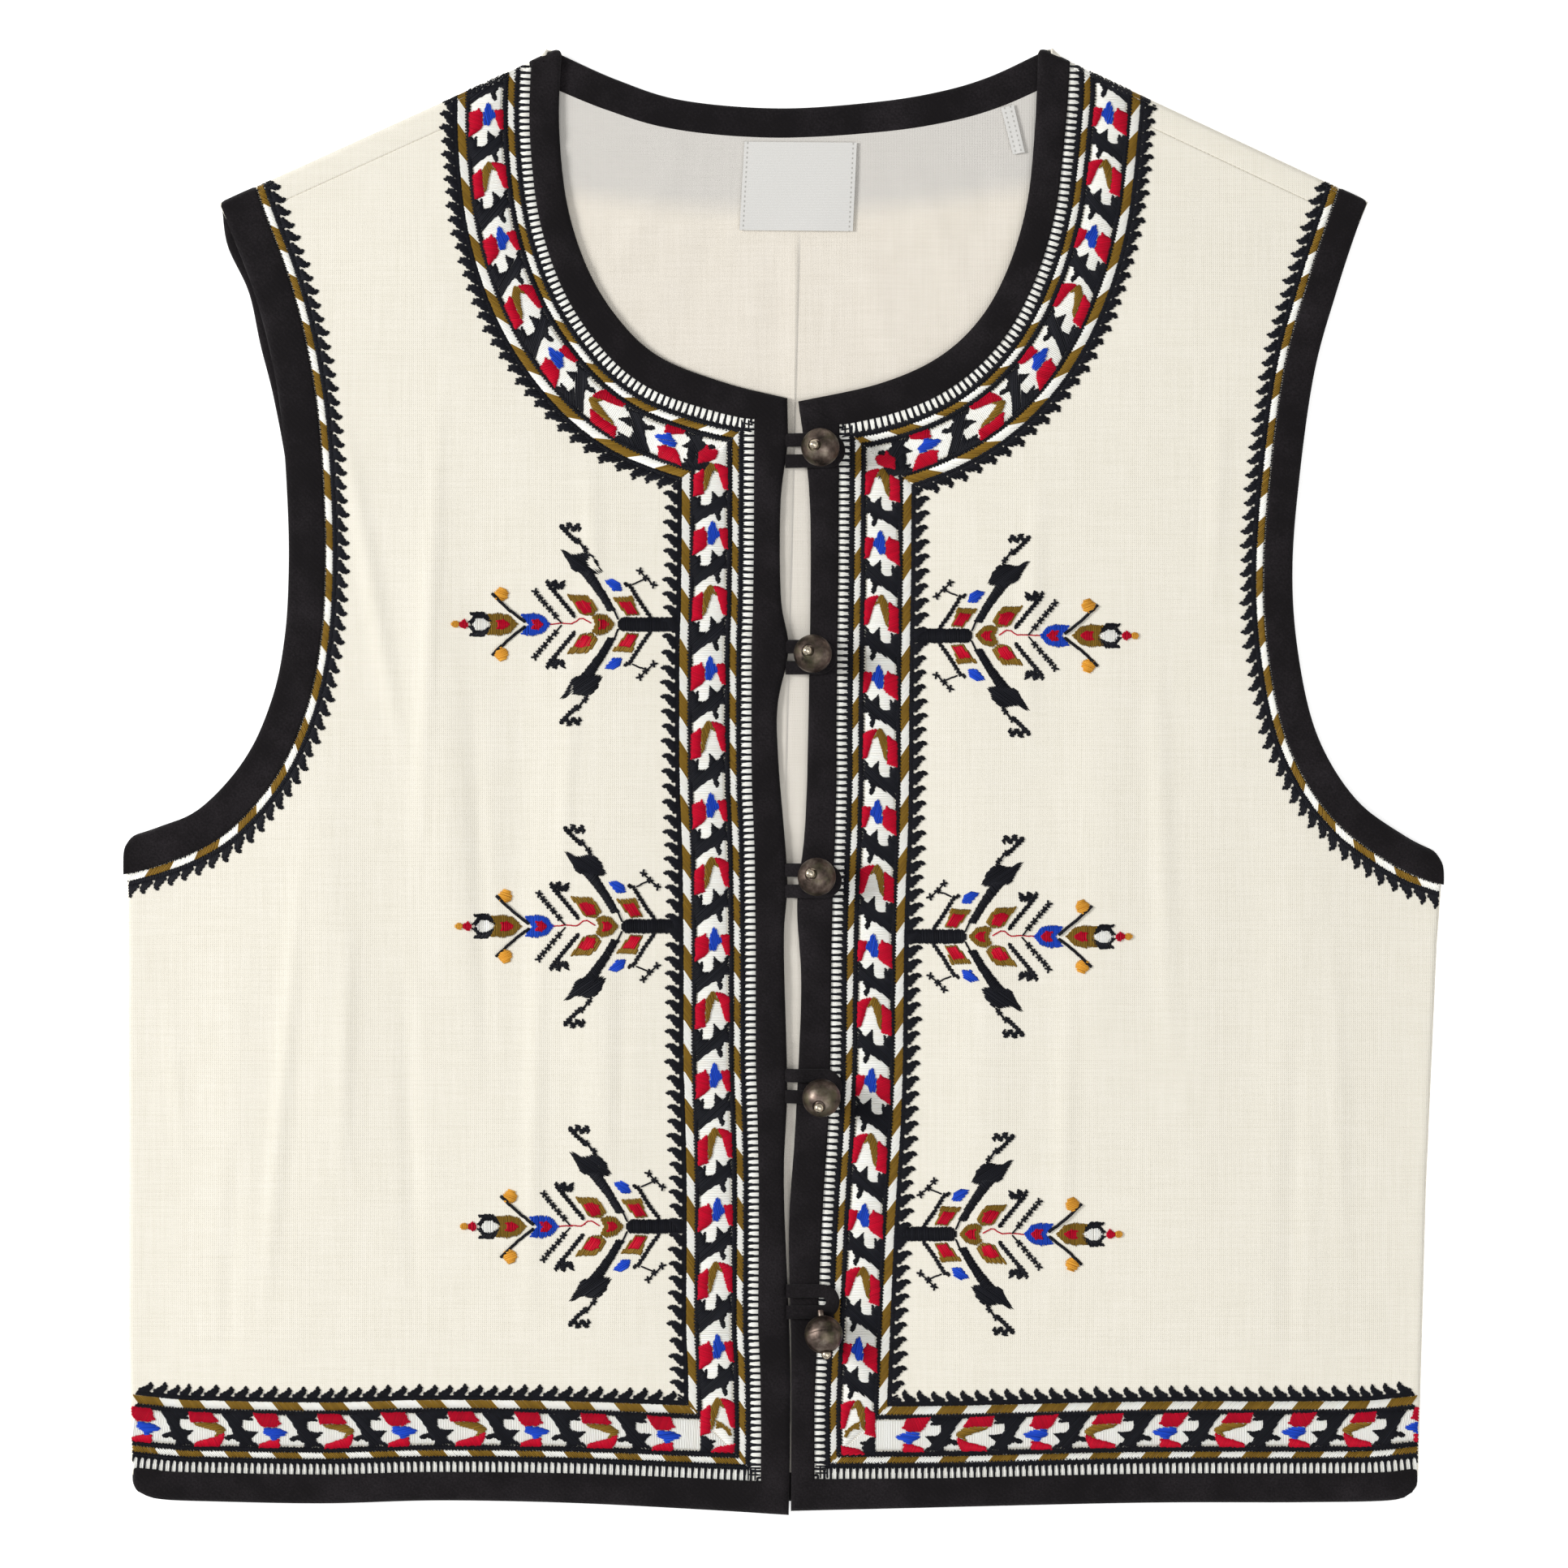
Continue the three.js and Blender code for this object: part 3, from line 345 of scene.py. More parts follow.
def wovenSatinTape(name):
    # Woven satin tape: fine cross ribs in a smooth white face, with a line of small stitches by each end
    material, add = newMaterial(name)
    onTape = add("Attribute", output="Vector", attribute_name="onTape")
    fromEnd, along = add("SeparateXYZ", {0: onTape}).node.outputs[:2]
    away = add("Math", {0: add("Math", {0: fromEnd, 1: 1.3}, operation="SUBTRACT")}, operation="ABSOLUTE")
    line = add("MapRange", {"Value": away, "From Min": 0.15, "From Max": 0.4, "To Min": 1, "To Max": 0})
    beat = add("Math", {0: along, 1: 2 * math.pi / 1.8}, operation="MULTIPLY")
    wave = add("Math", {0: beat}, operation="SINE")
    dash = add("MapRange", {"Value": wave, "From Min": -0.1, "From Max": 0.5})
    sewn = add("Math", {0: line, 1: dash}, operation="MULTIPLY")
    ribs = add("TexWave", {
        "Vector": add("TexCoord", output="Object"), "Scale": waveScale(0.6), "Distortion": 0.6, "Detail": 1,
    }, output="Fac", bands_direction="Y")
    face = add("Mix", {0: ribs, 6: linear("#DAD9D6"), 7: linear("#D0CEC9")}, **inColour)
    base = add("Mix", {0: sewn, 6: face, 7: linear("#A9A7A2")}, **inColour)
    return closeMaterial(
        material, add, {"Base Color": base, "Roughness": 0.5, "Sheen Weight": 0.1, "Specular IOR Level": 0.4},
        ribs, 0.3, 0.1)


finishes = {
    "cloth": wovenCotton(
        "plainWovenCreamCotton", "#EBE6D9", "#DDD7C4", thread=0.75, slub=0.3, tone=0.1, rough=0.88,
        sheen=0.04),
    "lining": wovenCotton(
        "cottonVoileLining", "#E8E1D5", "#DBD3C4", thread=0.6, slub=0.35, tone=0.2, rough=0.85, sheen=0.03,
        showThroughAndPaintedShade=("#CECBC6", 0.85)),
    "binding": brushedTwill("brushedBlackTwill", "#110E10", "#272326"),
    "metal": antiquedSilverBrass("antiquedSilverBrass"),
    "tape": wovenSatinTape("wovenSatinTape"),
}
threadColours = {
    "black": ("#121319", "#1E1F27"), "crimson": ("#CC002C", "#A40022"), "olive": ("#8F6E24", "#6A4E16"),
    "blue": ("#1E4ECF", "#153AA0"), "amber": ("#E6A63C", "#C68628"), "white": ("#FFFFFA", "#F4F1E7"),
}
for colour, tones in threadColours.items():
    finishes[colour] = strandedCotton(f"{colour}StrandedCotton", *tones)
print("stage 2: materials made")


def addObject(name, data, finish=None):
    thing = bpy.data.objects.new(name, data)
    bpy.context.collection.objects.link(thing)
    if finish:
        data.materials.append(finishes[finish])
    return thing


def meshObject(name, points, faces, finish):
    mesh = bpy.data.meshes.new(name)
    mesh.from_pydata([tuple(p) for p in np.asarray(points) * mm], [], faces)
    mesh.polygons.foreach_set("use_smooth", [True] * len(mesh.polygons))
    return addObject(name, mesh, finish)


def takePlace(piece, slot, *nodes):
    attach(piece, "root")
    if nodes:
        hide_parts(*nodes)
    return piece


def selectOnly(piece):
    bpy.ops.object.select_all(action="DESELECT")
    bpy.context.view_layer.objects.active = piece
    piece.select_set(True)


def applyModifier(piece, kind, **settings):
    selectOnly(piece)
    modifier = piece.modifiers.new(kind.title(), kind)
    for name, value in settings.items():
        setattr(modifier, name, value)
    bpy.ops.object.modifier_apply(modifier=modifier.name)


def smoothByAngle(piece, degrees):
    selectOnly(piece)
    bpy.ops.object.shade_smooth_by_angle(angle=math.radians(degrees))


# Bindings: sections along each edge, in the layer that turn gives, from 0 in front to half a turn behind
def sectionsAlong(rows, side, widths, step, turn):
    line = curveThrough(rows, step)
    along = tangents(line)
    width = np.interp(np.linspace(0, 1, len(line)), np.linspace(0, 1, len(widths)), widths)
    across = leftOf(along) * (side * width)[:, None]
    return [
        {"edge": line[i], "across": across[i], "width": width[i], "turn": turn, "outward": None}
        for i in range(len(line))
    ]


def frontSections(side, step):
    # Sections of a front edge, each level across to the binding's inner edge
    sections = sectionsAlong(frontEdge[side], 1, [1, 1], step, 0)
    for section in sections:
        x, y = section["edge"]
        reach = np.interp(y, [row[1] for row in frontInner[side]], [row[0] for row in frontInner[side]]) - x
        section["across"], section["width"] = np.array([reach, 0.0]), abs(reach)
    return sections


def turnSections(edge, across, outward, start, end, draw=0.0):
    # A binding's turn over a fold. draw rounds its outer corner off by that much
    turned, width = [], np.linalg.norm(across)
    for turn in np.linspace(start, end, bindingSizes["turnSteps"] + 1):
        drawn = draw * math.sin(turn) ** 2
        turned.append({
            "edge": edge + unit(across) * drawn, "across": unit(across) * (width - drawn),
            "width": width - drawn, "turn": turn, "outward": outward})
    return turned


def mitre(before, after):
    one, two = unit(before["across"]), unit(after["across"])
    corner = np.linalg.solve([one, two], [before["width"], after["width"]])
    before["across"] = after["across"] = corner
    return corner


bindingSizes = {
    "step": 3.0, "hemStep": 6.0, "wall": 0.5, "pucker": 0.09, "puckerWaves": ((1.9, 0), (0.73, 1.1)),
    "mitreLength": 12.5, "turnSteps": 12, "sideDraw": 2.0,
    "endRadius": 5, "endShares": (1, 0.72, 0.48, 0.28, 0.12, 0.03, 0),
}


def clearCorner(sections, corner):
    # Sections close to a mitre would cross it, so only the mitre itself stays
    return [
        s for s in sections
        if s is corner or np.linalg.norm(s["edge"] - corner["edge"]) > bindingSizes["mitreLength"]
    ]


def roundEnd(sections):
    # Draws the outer corner of a binding's end in to a round
    last, radius = sections[-1], bindingSizes["endRadius"]
    kept = [s for s in sections if np.linalg.norm(s["edge"] - last["edge"]) > radius]
    start = kept[-1]
    reach = np.linalg.norm(start["edge"] - last["edge"])
    for part in bindingSizes["endShares"]:
        away = radius * part
        share = 1 - away / reach
        across = unit(start["across"] * (1 - share) + last["across"] * share)
        outer = radius - math.sqrt(radius ** 2 - (radius - away) ** 2)
        width = start["width"] * (1 - share) + last["width"] * share - outer
        place = start["edge"] * (1 - share) + last["edge"] * share + across * outer
        kept.append(dict(last, edge=place, across=across * width, width=width))
    return kept


def buildEdges(side, step):
    onCloth = clothOn[side]
    start, end = (shoulderTip, neckPoint)[::onCloth]
    foldAlong = unit(np.subtract(end[side], start[side]))
    outward = leftOf(foldAlong)
    inset = outward * layers["turnHeight"]
    neckEnd, tipStart = np.array(neckPoint[side]) - inset, np.array(shoulderTip[side]) - inset
    toTip = foldAlong * -onCloth
    sideOut = np.array([-onCloth, 0.0])
    hemEnd = np.array([sideEdge[side][-1][0], -hemCornerDrop[side]]) - sideOut * layers["turnHeight"]
    neck = sectionsAlong([*neckEdge[side], neckEnd], onCloth, neckWidths[side], step, 0)
    edge = frontSections(side, step)
    hem = sectionsAlong([*hemEdge[side], hemEnd], -onCloth, hemWidths[side], step, 0)
    armhole = sectionsAlong([tipStart, *armholeFront[side]], onCloth, armholeWidths[side], step, 0)
    armholeOver = sectionsAlong([tipStart, *armholeBack[side]], onCloth, armholeWidths[side], step, math.pi)
    mitre(edge[-1], neck[0])
    mitre(hem[0], edge[0])
    edge = clearCorner(clearCorner(edge, edge[0]), edge[-1])
    neck, hem = clearCorner(neck, neck[0]), clearCorner(hem, hem[0])
    neck[-1]["across"] = toTip * neckTurnWidth
    hem[-1]["across"] = np.array([0.0, hemTurnWidth])
    for row in (armhole, armholeOver):
        row[0]["across"] = -toTip * armholeTurnWidth[side]
        row[-1]["across"] = np.array([0.0, -row[-1]["width"]])
        row[:] = roundEnd(row)
    return {
        "neck": neck, "edge": edge, "hem": hem, "armhole": armhole, "armholeOver": armholeOver,
        "outward": outward, "sideOut": sideOut, "neckEnd": neckEnd, "tipStart": tipStart, "hemEnd": hemEnd,
        "toTip": toTip,
    }


edges = {side: buildEdges(side, bindingSizes["step"]) for side in sides}


def bindingProfile(width):
    # A strip folded round the cloth's edge: over the top, round the fold, and back underneath
    wall, top = bindingSizes["wall"], layers["bindingWall"]
    outer = [
        (width - 0.15, 1.55), (width, 1.85), (width - 0.25, 2.2), (width - 0.9, 2.42), (width * 0.6, top),
        (2.4, top - 0.04), (1.2, top - 0.25), (0.4, top - 0.75), (0, 1.3), (0.25, 0.62), (0.9, 0.16), (2, 0),
        (width - 0.8, 0), (width, 0.12),
    ]
    inner = [
        (width - 0.3, wall), (2.6, wall), (1.4, wall + 0.25), (1, 1.2), (1.4, top - wall - 0.25),
        (2.6, top - wall - 0.1), (width - 1.6, top - wall - 0.15), (width - 0.8, 1.6),
    ]
    return outer + inner


def bindingRing(section, index):
    waves = [math.sin(index * rate + shift) for rate, shift in bindingSizes["puckerWaves"]]
    pucker = bindingSizes["pucker"] * sum(waves)
    ring = []
    for inset, height in bindingProfile(section["width"]):
        plan = section["edge"] + section["across"] * inset / section["width"]
        high = height + (pucker if height > 1.6 else 0)
        reach = layers["seamGap"] / 2 + high
        turn = section["turn"]
        rise = float(lift(*plan)) if turn == 0 else 0
        if section["outward"] is not None:
            plan = plan + section["outward"] * reach * math.sin(turn)
        ring.append((plan[0], plan[1], layers["turnHeight"] + reach * math.cos(turn) + rise))
    return ring


def loft(name, rings, finish):
    size, points = len(rings[0]), [p for ring in rings for p in ring]
    faces = []
    for start in range(0, len(points) - size, size):
        for i in range(size):
            j = (i + 1) % size
            faces.append((start + i, start + j, start + size + j, start + size + i))
    faces += [tuple(range(size - 1, -1, -1)), tuple(range(len(points) - size, len(points)))]
    piece = meshObject(name, points, faces, finish)
    shape = bmesh.new()
    shape.from_mesh(piece.data)
    bmesh.ops.recalc_face_normals(shape, faces=shape.faces)
    shape.to_mesh(piece.data)
    shape.free()
    return piece


def bindingStrip(name, sections):
    # A strip lofted through the folded sections; the line down its middle is found but not used
    middle = np.array([bindingRing(section, 0)[4] for section in sections])
    piece = loft(name, [bindingRing(section, i) for i, section in enumerate(sections)], "binding")
    smoothByAngle(piece, 60)
    return takePlace(piece, "binding_twill", name)


right, left = edges["right"], edges["left"]
backNeck = sectionsAlong(
    [right["neckEnd"], *backNeckEdge, left["neckEnd"]], -1, backNeckWidths, bindingSizes["step"], math.pi)
backNeck[0]["across"] = right["toTip"] * neckTurnWidth
backNeck[-1]["across"] = left["toTip"] * neckTurnWidth
backHem = sectionsAlong(
    [left["hemEnd"], *backHemEdge, right["hemEnd"]], -1, backHemWidths, bindingSizes["hemStep"], math.pi)
backHem[0]["across"] = backHem[-1]["across"] = np.array([0.0, hemTurnWidth])

draw = bindingSizes["sideDraw"]
bindings = {
    "neck_binding": bindingStrip("neck_binding", [
        *right["neck"][:-1],
        *turnSections(right["neckEnd"], right["neck"][-1]["across"], right["outward"], 0, math.pi),
        *backNeck[1:-1],
        *turnSections(left["neckEnd"], left["neck"][-1]["across"], left["outward"], math.pi, 0),
        *left["neck"][-2::-1],
    ]),
    "hem_binding": bindingStrip("hem_binding", [
        *left["hem"][:-1],
        *turnSections(left["hemEnd"], left["hem"][-1]["across"], left["sideOut"], 0, math.pi, draw),
        *backHem[1:-1],
        *turnSections(right["hemEnd"], right["hem"][-1]["across"], right["sideOut"], math.pi, 0, draw),
        *right["hem"][-2::-1],
    ]),
}
for side in sides:
    shape = edges[side]
    bindings[f"edge_binding_{side}"] = bindingStrip(f"edge_binding_{side}", shape["edge"])
    bindings[f"armhole_binding_{side}"] = bindingStrip(f"armhole_binding_{side}", [
        *shape["armholeOver"][:0:-1],
        *turnSections(shape["tipStart"], shape["armhole"][0]["across"], shape["outward"], math.pi, 0),
        *shape["armhole"][1:],
    ])
print("stage 3: bindings folded")


# Cloth sheets: an outline cut into a grid, raised to its form, then given its wall
sheetSizes = {"onLine": 0.05, "sideTop": -20}  # how close to a line counts as on it, and the side seams' top


def bisect(shape, point, normal, **settings):
    bmesh.ops.bisect_plane(
        shape, geom=[*shape.verts, *shape.edges, *shape.faces], plane_co=point, plane_no=normal, **settings)


def gridSheet(outline, step):
    shape = bmesh.new()
    shape.faces.new([shape.verts.new((x, y, 0)) for x, y in outline])
    low, high = np.min(outline, axis=0), np.max(outline, axis=0)
    for axis, way in enumerate([Vector((1, 0, 0)), Vector((0, 1, 0))]):
        for at in np.arange(low[axis] + step, high[axis] - 0.2 * step, step):
            bisect(shape, way * at, way)
    return shape


def onSide(co, drawn):
    reach = float(sideReach("right" if co.x < 0 else "left", co.y)) - drawn
    return abs(co.x) > reach - sheetSizes["onLine"] and co.y < sheetSizes["sideTop"]


def onFold(side, co, inset):
    return abs(float(insideFold(side, np.array([[co.x, co.y]]))[0]) - inset) < sheetSizes["onLine"]


def rollEdge(shape, chosen, path, outwardOf):
    # Draws a row of faces out from the chosen border, through offsets of distance out and height
    rim = [e for e in shape.edges if e.is_boundary and all(chosen(v.co) for v in e.verts)]
    for out, up in path:
        made = bmesh.ops.extrude_edge_only(shape, edges=rim)["geom"]
        new = [v for v in made if isinstance(v, bmesh.types.BMVert)]
        for v in new:
            direction = outwardOf(v.co)
            v.co.x += direction[0] * out
            v.co.y += direction[1] * out
            v.co.z += up
        rim = [e for e in made if isinstance(e, bmesh.types.BMEdge) and e.is_boundary
               and all(v in new for v in e.verts)]


def setHeights(shape, heights):
    for v, z in zip(shape.verts, heights):
        v.co.z = z


def finishSheet(name, shape, finish, wall, facesUp=True):
    shape.normal_update()
    total = sum(f.normal.z * f.calc_area() for f in shape.faces)
    if (total > 0) != facesUp:
        bmesh.ops.reverse_faces(shape, faces=shape.faces)
    for v in shape.verts:
        v.co *= mm
    for f in shape.faces:
        f.smooth = True
    mesh = bpy.data.meshes.new(name)
    shape.to_mesh(mesh)
    shape.free()
    piece = addObject(name, mesh, finish)
    applyModifier(piece, "SOLIDIFY", thickness=wall * mm, offset=-1, use_even_offset=False)
    return piece


def inner(sections, tuck):
    # Line under a binding, a tuck past its inner edge
    return [tuple(s["edge"] + s["across"] * (s["width"] - tuck) / s["width"]) for s in sections]


frontSizes = {
    "grid": 2.4, "wall": 0.85, "tuck": 3.2, "sideRoll": [(0.9, -0.12), (0.7, -0.38), (0.35, -0.7)],
    "seamRoll": [(0.5, -0.05), (0.35, -0.2)],
}


def makeFront(side):
    shape, sizes = edges[side], frontSizes
    drawn, tuck = sum(out for out, up in sizes["sideRoll"]), sizes["tuck"]
    outline = np.array([
        *inner(shape["hem"][::-1], tuck), *inner(shape["edge"][1:], tuck), *inner(shape["neck"][1:], tuck),
        *inner(shape["armhole"], tuck), *sideEdge[side][1:-1],
    ])
    reach = sideReach(side, outline[:, 1]) - drawn
    outline[0, 0] = -clothOn[side] * reach[0]  # the hem runs out to the side
    outline[:, 0] = np.clip(outline[:, 0], -reach, reach)
    made = gridSheet(outline[::clothOn[side]], sizes["grid"])
    seam = layers["shoulderSeam"] - sheetSizes["onLine"] + sum(out for out, up in sizes["seamRoll"])
    start = np.array(shoulderTip[side]) - shape["outward"] * seam
    bisect(made, (*start, 0), (*shape["outward"], 0), clear_outer=True)
    points = np.array([v.co for v in made.verts])
    setHeights(made, layers["frontTop"] + lift(points[:, 0], points[:, 1], fine=True))
    rollEdge(made, lambda co: onFold(side, co, seam), sizes["seamRoll"], lambda co: shape["outward"])
    rollEdge(made, lambda co: onSide(co, drawn), sizes["sideRoll"], lambda co: shape["sideOut"])
    piece = finishSheet(f"front_{side}_cloth", made, "cloth", sizes["wall"])
    return takePlace(piece, "cotton_cloth", f"front_{side}")


backSizes = {
    "grid": 8.0, "wall": 0.9, "tuck": 3.0, "neckTuck": 4.5, "turnDegrees": 15,
    "sideRoll": [(0.8, 0.1), (0.7, 0.35), (0.4, 0.8)], "flapRoll": [(-0.45, -0.06), (-0.25, -0.2)],
}


def backOutline(foldInset, sideInset, tuck):
    points = []
    for side in sides:
        shape = edges[side]
        tip, neck = [np.array(row[side]) - shape["outward"] * foldInset for row in (shoulderTip, neckPoint)]
        part = np.array([neck, tip, *inner(shape["armholeOver"][2:], tuck), *sideEdge[side][1:-1]])
        reach = sideReach(side, part[:, 1]) - sideInset
        part[:, 0] = np.clip(part[:, 0], -reach, reach)
        points.append(part)
    hem, neckline = np.array(inner(backHem, tuck)), np.array(inner(backNeck[1:-1], tuck))
    for row, side in ((hem[0], "left"), (hem[-1], "right")):
        row[0] = -clothOn[side] * (sideReach(side, row[1]) - sideInset)
    return np.vstack([points[0], hem[::-1], points[1][::-1], neckline[::-1]])


def makeBack():
    sizes, radius = backSizes, layers["frontTop"] / 2
    drawn = sum(out for out, up in sizes["sideRoll"])
    axis = radius + layers["seamGap"]
    flap, past = (layers["shoulderSeam"] - axis) / 2, sum(out for out, up in sizes["flapRoll"])
    turns = [math.radians(a) for a in range(-90, 91, sizes["turnDegrees"])]
    arc = [(radius * (math.cos(b) - math.cos(a)), radius * (math.sin(b) - math.sin(a)))
           for a, b in zip(turns, turns[1:])]
    arc += [(-flap, 0), (-flap - past, 0.02), *sizes["flapRoll"]]
    made = gridSheet(backOutline(axis, drawn, sizes["tuck"]), sizes["grid"])
    rollEdge(made, lambda co: onSide(co, drawn), sizes["sideRoll"], lambda co: (math.copysign(1, co.x), 0))
    for side in sides:
        isChosen = lambda co: onFold(side, co, axis) and co.x * clothOn[side] < 0 and co.z < 0.01
        rollEdge(made, isChosen, arc, lambda co: edges[side]["outward"])
        for v in made.verts:  # the turned part ends inside the neck binding
            if v.co.z > 1 and v.co.x * clothOn[side] < 0:
                least = abs(neckPoint[side][0]) + sizes["neckTuck"]
                v.co.x = math.copysign(max(abs(v.co.x), least), v.co.x)
    piece = finishSheet("back_cloth", made, "cloth", sizes["wall"], facesUp=False)
    return takePlace(piece, "cotton_cloth", "back")


liningSizes = {
    "grid": 3.5, "wall": 0.6, "tuck": 3.0, "foldInset": 4.5, "sideInset": 1.0, "sag": 0.15,
    "reliefRange": (-0.8, 1.1), "pleatX": 5.9, "pleatTop": 201.0, "pleatLean": 0.025, "pleatWidth": 7.0,
    "pleatRise": 0.5, "pleatPaintedShade": 0.35, "pleatLines": (-7.0, -0.45, 0.05, 0.55), "pleatFade": 6.0,
    "yokeFoot": 211.0, "yokeBend": 0.0011, "yokeFade": 9.0,
    "seamY": 235.6, "seamReach": (-88, -38), "seamWidth": 2.2, "seamRise": 0.6, "seamPaintedShade": 0.35,
    "clearOfNeck": 8.0, "openFoot": 130.0, "gapTop": 145.0, "gapPaintedShade": 0.35, "fade": 20.0,
}
liningCreases = [
    (-52, 236, 178, 34, 3.6, 0.5), (-30, 225, 160, 20, 5, -0.35), (58, 232, 170, -24, 4.2, 0.4),
    (34, 205, 150, -10, 5, 0.3), (-12, 200, 142, 4, 4.4, 0.3), (74, 236, 200, -8, 3.6, -0.35),
]


def makeLining():
    sizes = liningSizes
    top, fall = sizes["pleatTop"], sizes["fade"]
    outline = backOutline(sizes["foldInset"], layers["backWall"] + sizes["sideInset"], sizes["tuck"])
    made = gridSheet(outline, sizes["grid"])
    for at in sizes["pleatLines"]:
        bisect(made, (sizes["pleatX"] + at, top, 0), (1, -sizes["pleatLean"], 0))
    points = np.array([v.co for v in made.verts])
    x, y = points[:, 0], points[:, 1]
    past = x - sizes["pleatX"] - sizes["pleatLean"] * (y - top)
    step = np.clip(1 + past / sizes["pleatWidth"], 0, 1) * np.clip(past / sizes["pleatLines"][1], 0, 1)
    pleat = sizes["pleatRise"] * step * np.clip((top - y) / sizes["pleatFade"], 0, 1)
    neckline = np.array([s["edge"] for s in backNeck])
    away = np.min(np.linalg.norm(points[:, None, :2] - neckline[None], axis=2), axis=1)
    yoke = sizes["yokeFoot"] + sizes["yokeBend"] * x * x
    underYoke = np.clip((y - yoke) / sizes["yokeFade"] + 0.5, 0, 1)
    start, end = sizes["seamReach"]
    seam = np.exp(-((y - sizes["seamY"]) / sizes["seamWidth"]) ** 2) * ((x > start) & (x < end))
    inOpening = np.clip((y - sizes["openFoot"]) / fall, 0, 1)
    awayFromNeck = np.clip((away - sizes["clearOfNeck"]) / fall, 0, 1)
    soft = (foldSum(liningCreases, x, y) - 0.2) * inOpening * awayFromNeck + sizes["seamRise"] * seam
    setHeights(made, layers["liningTop"] - sizes["sag"] + np.clip(pleat + soft, *sizes["reliefRange"]))
    # Painted shade: the lining greys below gapTop, where the fronts and their bindings shade the gap between
    # them. The band under the yoke is the back showing through the thin lining
    shade = underYoke * inOpening + sizes["gapPaintedShade"] * np.clip((sizes["gapTop"] - y) / fall, 0, 1)
    # Painted shade: a thin grey line along the pleat's drop, on the side turned from the light
    shade += sizes["pleatPaintedShade"] * np.clip(1 - np.abs(past - 0.05) / 0.5, 0, 1) * (y < top)
    # Painted shade: grey on the lower side of the seam's ridge only
    shade += sizes["seamPaintedShade"] * seam * (y < sizes["seamY"])
    tone = made.verts.layers.float.new("under")
    for v, value in zip(made.verts, np.clip(shade, 0, 1)):
        v[tone] = value
    piece = finishSheet("back_lining_cloth", made, "lining", sizes["wall"])
    return takePlace(piece, "cotton_lining", "back_lining")


fronts = {side: makeFront(side) for side in sides}
back = makeBack()
lining = makeLining()
print("stage 4: cloth sheets cut and laid")

# Embroidery. Rows of the border across the band, from the binding outwards, in millimetres
border = {
    "ladder": (0.0, 4.2), "rungPitch": 2.4, "inkLine": (4.0, 5.7), "innerStripe": (5.5, 8.3),
    "innerLine": (8.2, 9.9), "field": (9.9, 22.2), "outerLine": (22.0, 23.4), "outerStripe": (23.3, 26.9),
    "toothBand": (26.7, 28.4), "toothPitch": 5.3, "toothReach": 4.9, "stripePitch": 18.6, "threadWidth": 0.66,
    "pitch": 0.56, "smoothing": 14.0, "runOn": 45.0, "foldSteps": (0.35, 1.0, 2.2, 1000.0), "sideGap": 0.6,
    "shortest": 0.35, "lineStep": 1.5, "barberPitch": 0.8, "shake": 0.12, "sunk": 0.1, "roundness": 0.62,
}
chance = np.random.default_rng(7)
stitches = {}


def makeThread():
    # One stitch: a three-sided bar, drawn to a point at both ends
    bpy.ops.mesh.primitive_cylinder_add(vertices=3, radius=0.5, depth=0.8, end_fill_type="NOTHING")
    bar = bpy.context.active_object
    bar.data.transform(Matrix.Rotation(math.radians(90), 4, "Y"))
    bpy.ops.object.mode_set(mode="EDIT")
    shape = bmesh.from_edit_mesh(bar.data)
    for sign in (-1, 1):
        bpy.ops.mesh.select_all(action="DESELECT")
        for e in shape.edges:
            e.select = all(v.co.x * sign > 0.3 for v in e.verts)
        bmesh.update_edit_mesh(bar.data)
        bpy.ops.mesh.extrude_edges_move(TRANSFORM_OT_translate={"value": (0.1 * sign, 0, 0)})
        bpy.ops.mesh.merge(type="CENTER")
        shape = bmesh.from_edit_mesh(bar.data)
    bpy.ops.mesh.select_all(action="SELECT")
    bpy.ops.mesh.normals_make_consistent(inside=False)
    bpy.ops.object.mode_set(mode="OBJECT")
    points = np.array([v.co for v in bar.data.vertices])
    low, high = points.min(axis=0), points.max(axis=0)
    points[:, 1] = (points[:, 1] - low[1]) / (high[1] - low[1]) - 0.5
    points[:, 2] = (points[:, 2] - low[2]) / (high[2] - low[2])
    faces = [tuple(f.vertices) for f in bar.data.polygons]
    bpy.data.objects.remove(bar)
    return points, faces


def trim(starts, ends, startIn, endIn):
    kept = (startIn > 0) | (endIn > 0)
    starts, ends, startIn, endIn = starts[kept], ends[kept], startIn[kept], endIn[kept]
    span = np.where(startIn == endIn, 1, startIn - endIn)
    at = np.clip(startIn / span, 0, 1)[:, None]
    meet = starts + (ends - starts) * at
    starts, ends = np.where((startIn < 0)[:, None], meet, starts), np.where((endIn < 0)[:, None], meet, ends)
    long = np.linalg.norm(ends - starts, axis=1) > border["shortest"]
    return starts[long], ends[long]


def addStitches(side, colour, starts, ends, level=0.0, width=None):
    # Trims at the side, and takes the rows over the shoulder fold in short steps
    starts, ends = np.array(starts, float), np.array(ends, float)
    inside = lambda p: sideReach(side, p[:, 1]) - border["sideGap"] - np.abs(p[:, 0])
    starts, ends = trim(starts, ends, inside(starts), inside(ends))
    bounds = border["foldSteps"]
    for low, high in zip(bounds, bounds[1:]):
        part = trim(starts, ends, insideFold(side, starts) - low, insideFold(side, ends) - low)
        part = trim(*part, high - insideFold(side, part[0]), high - insideFold(side, part[1]))
        count = len(part[0])
        stitches.setdefault((side, colour), []).append(
            (*part, np.full(count, level), np.full(count, width or border["threadWidth"])))


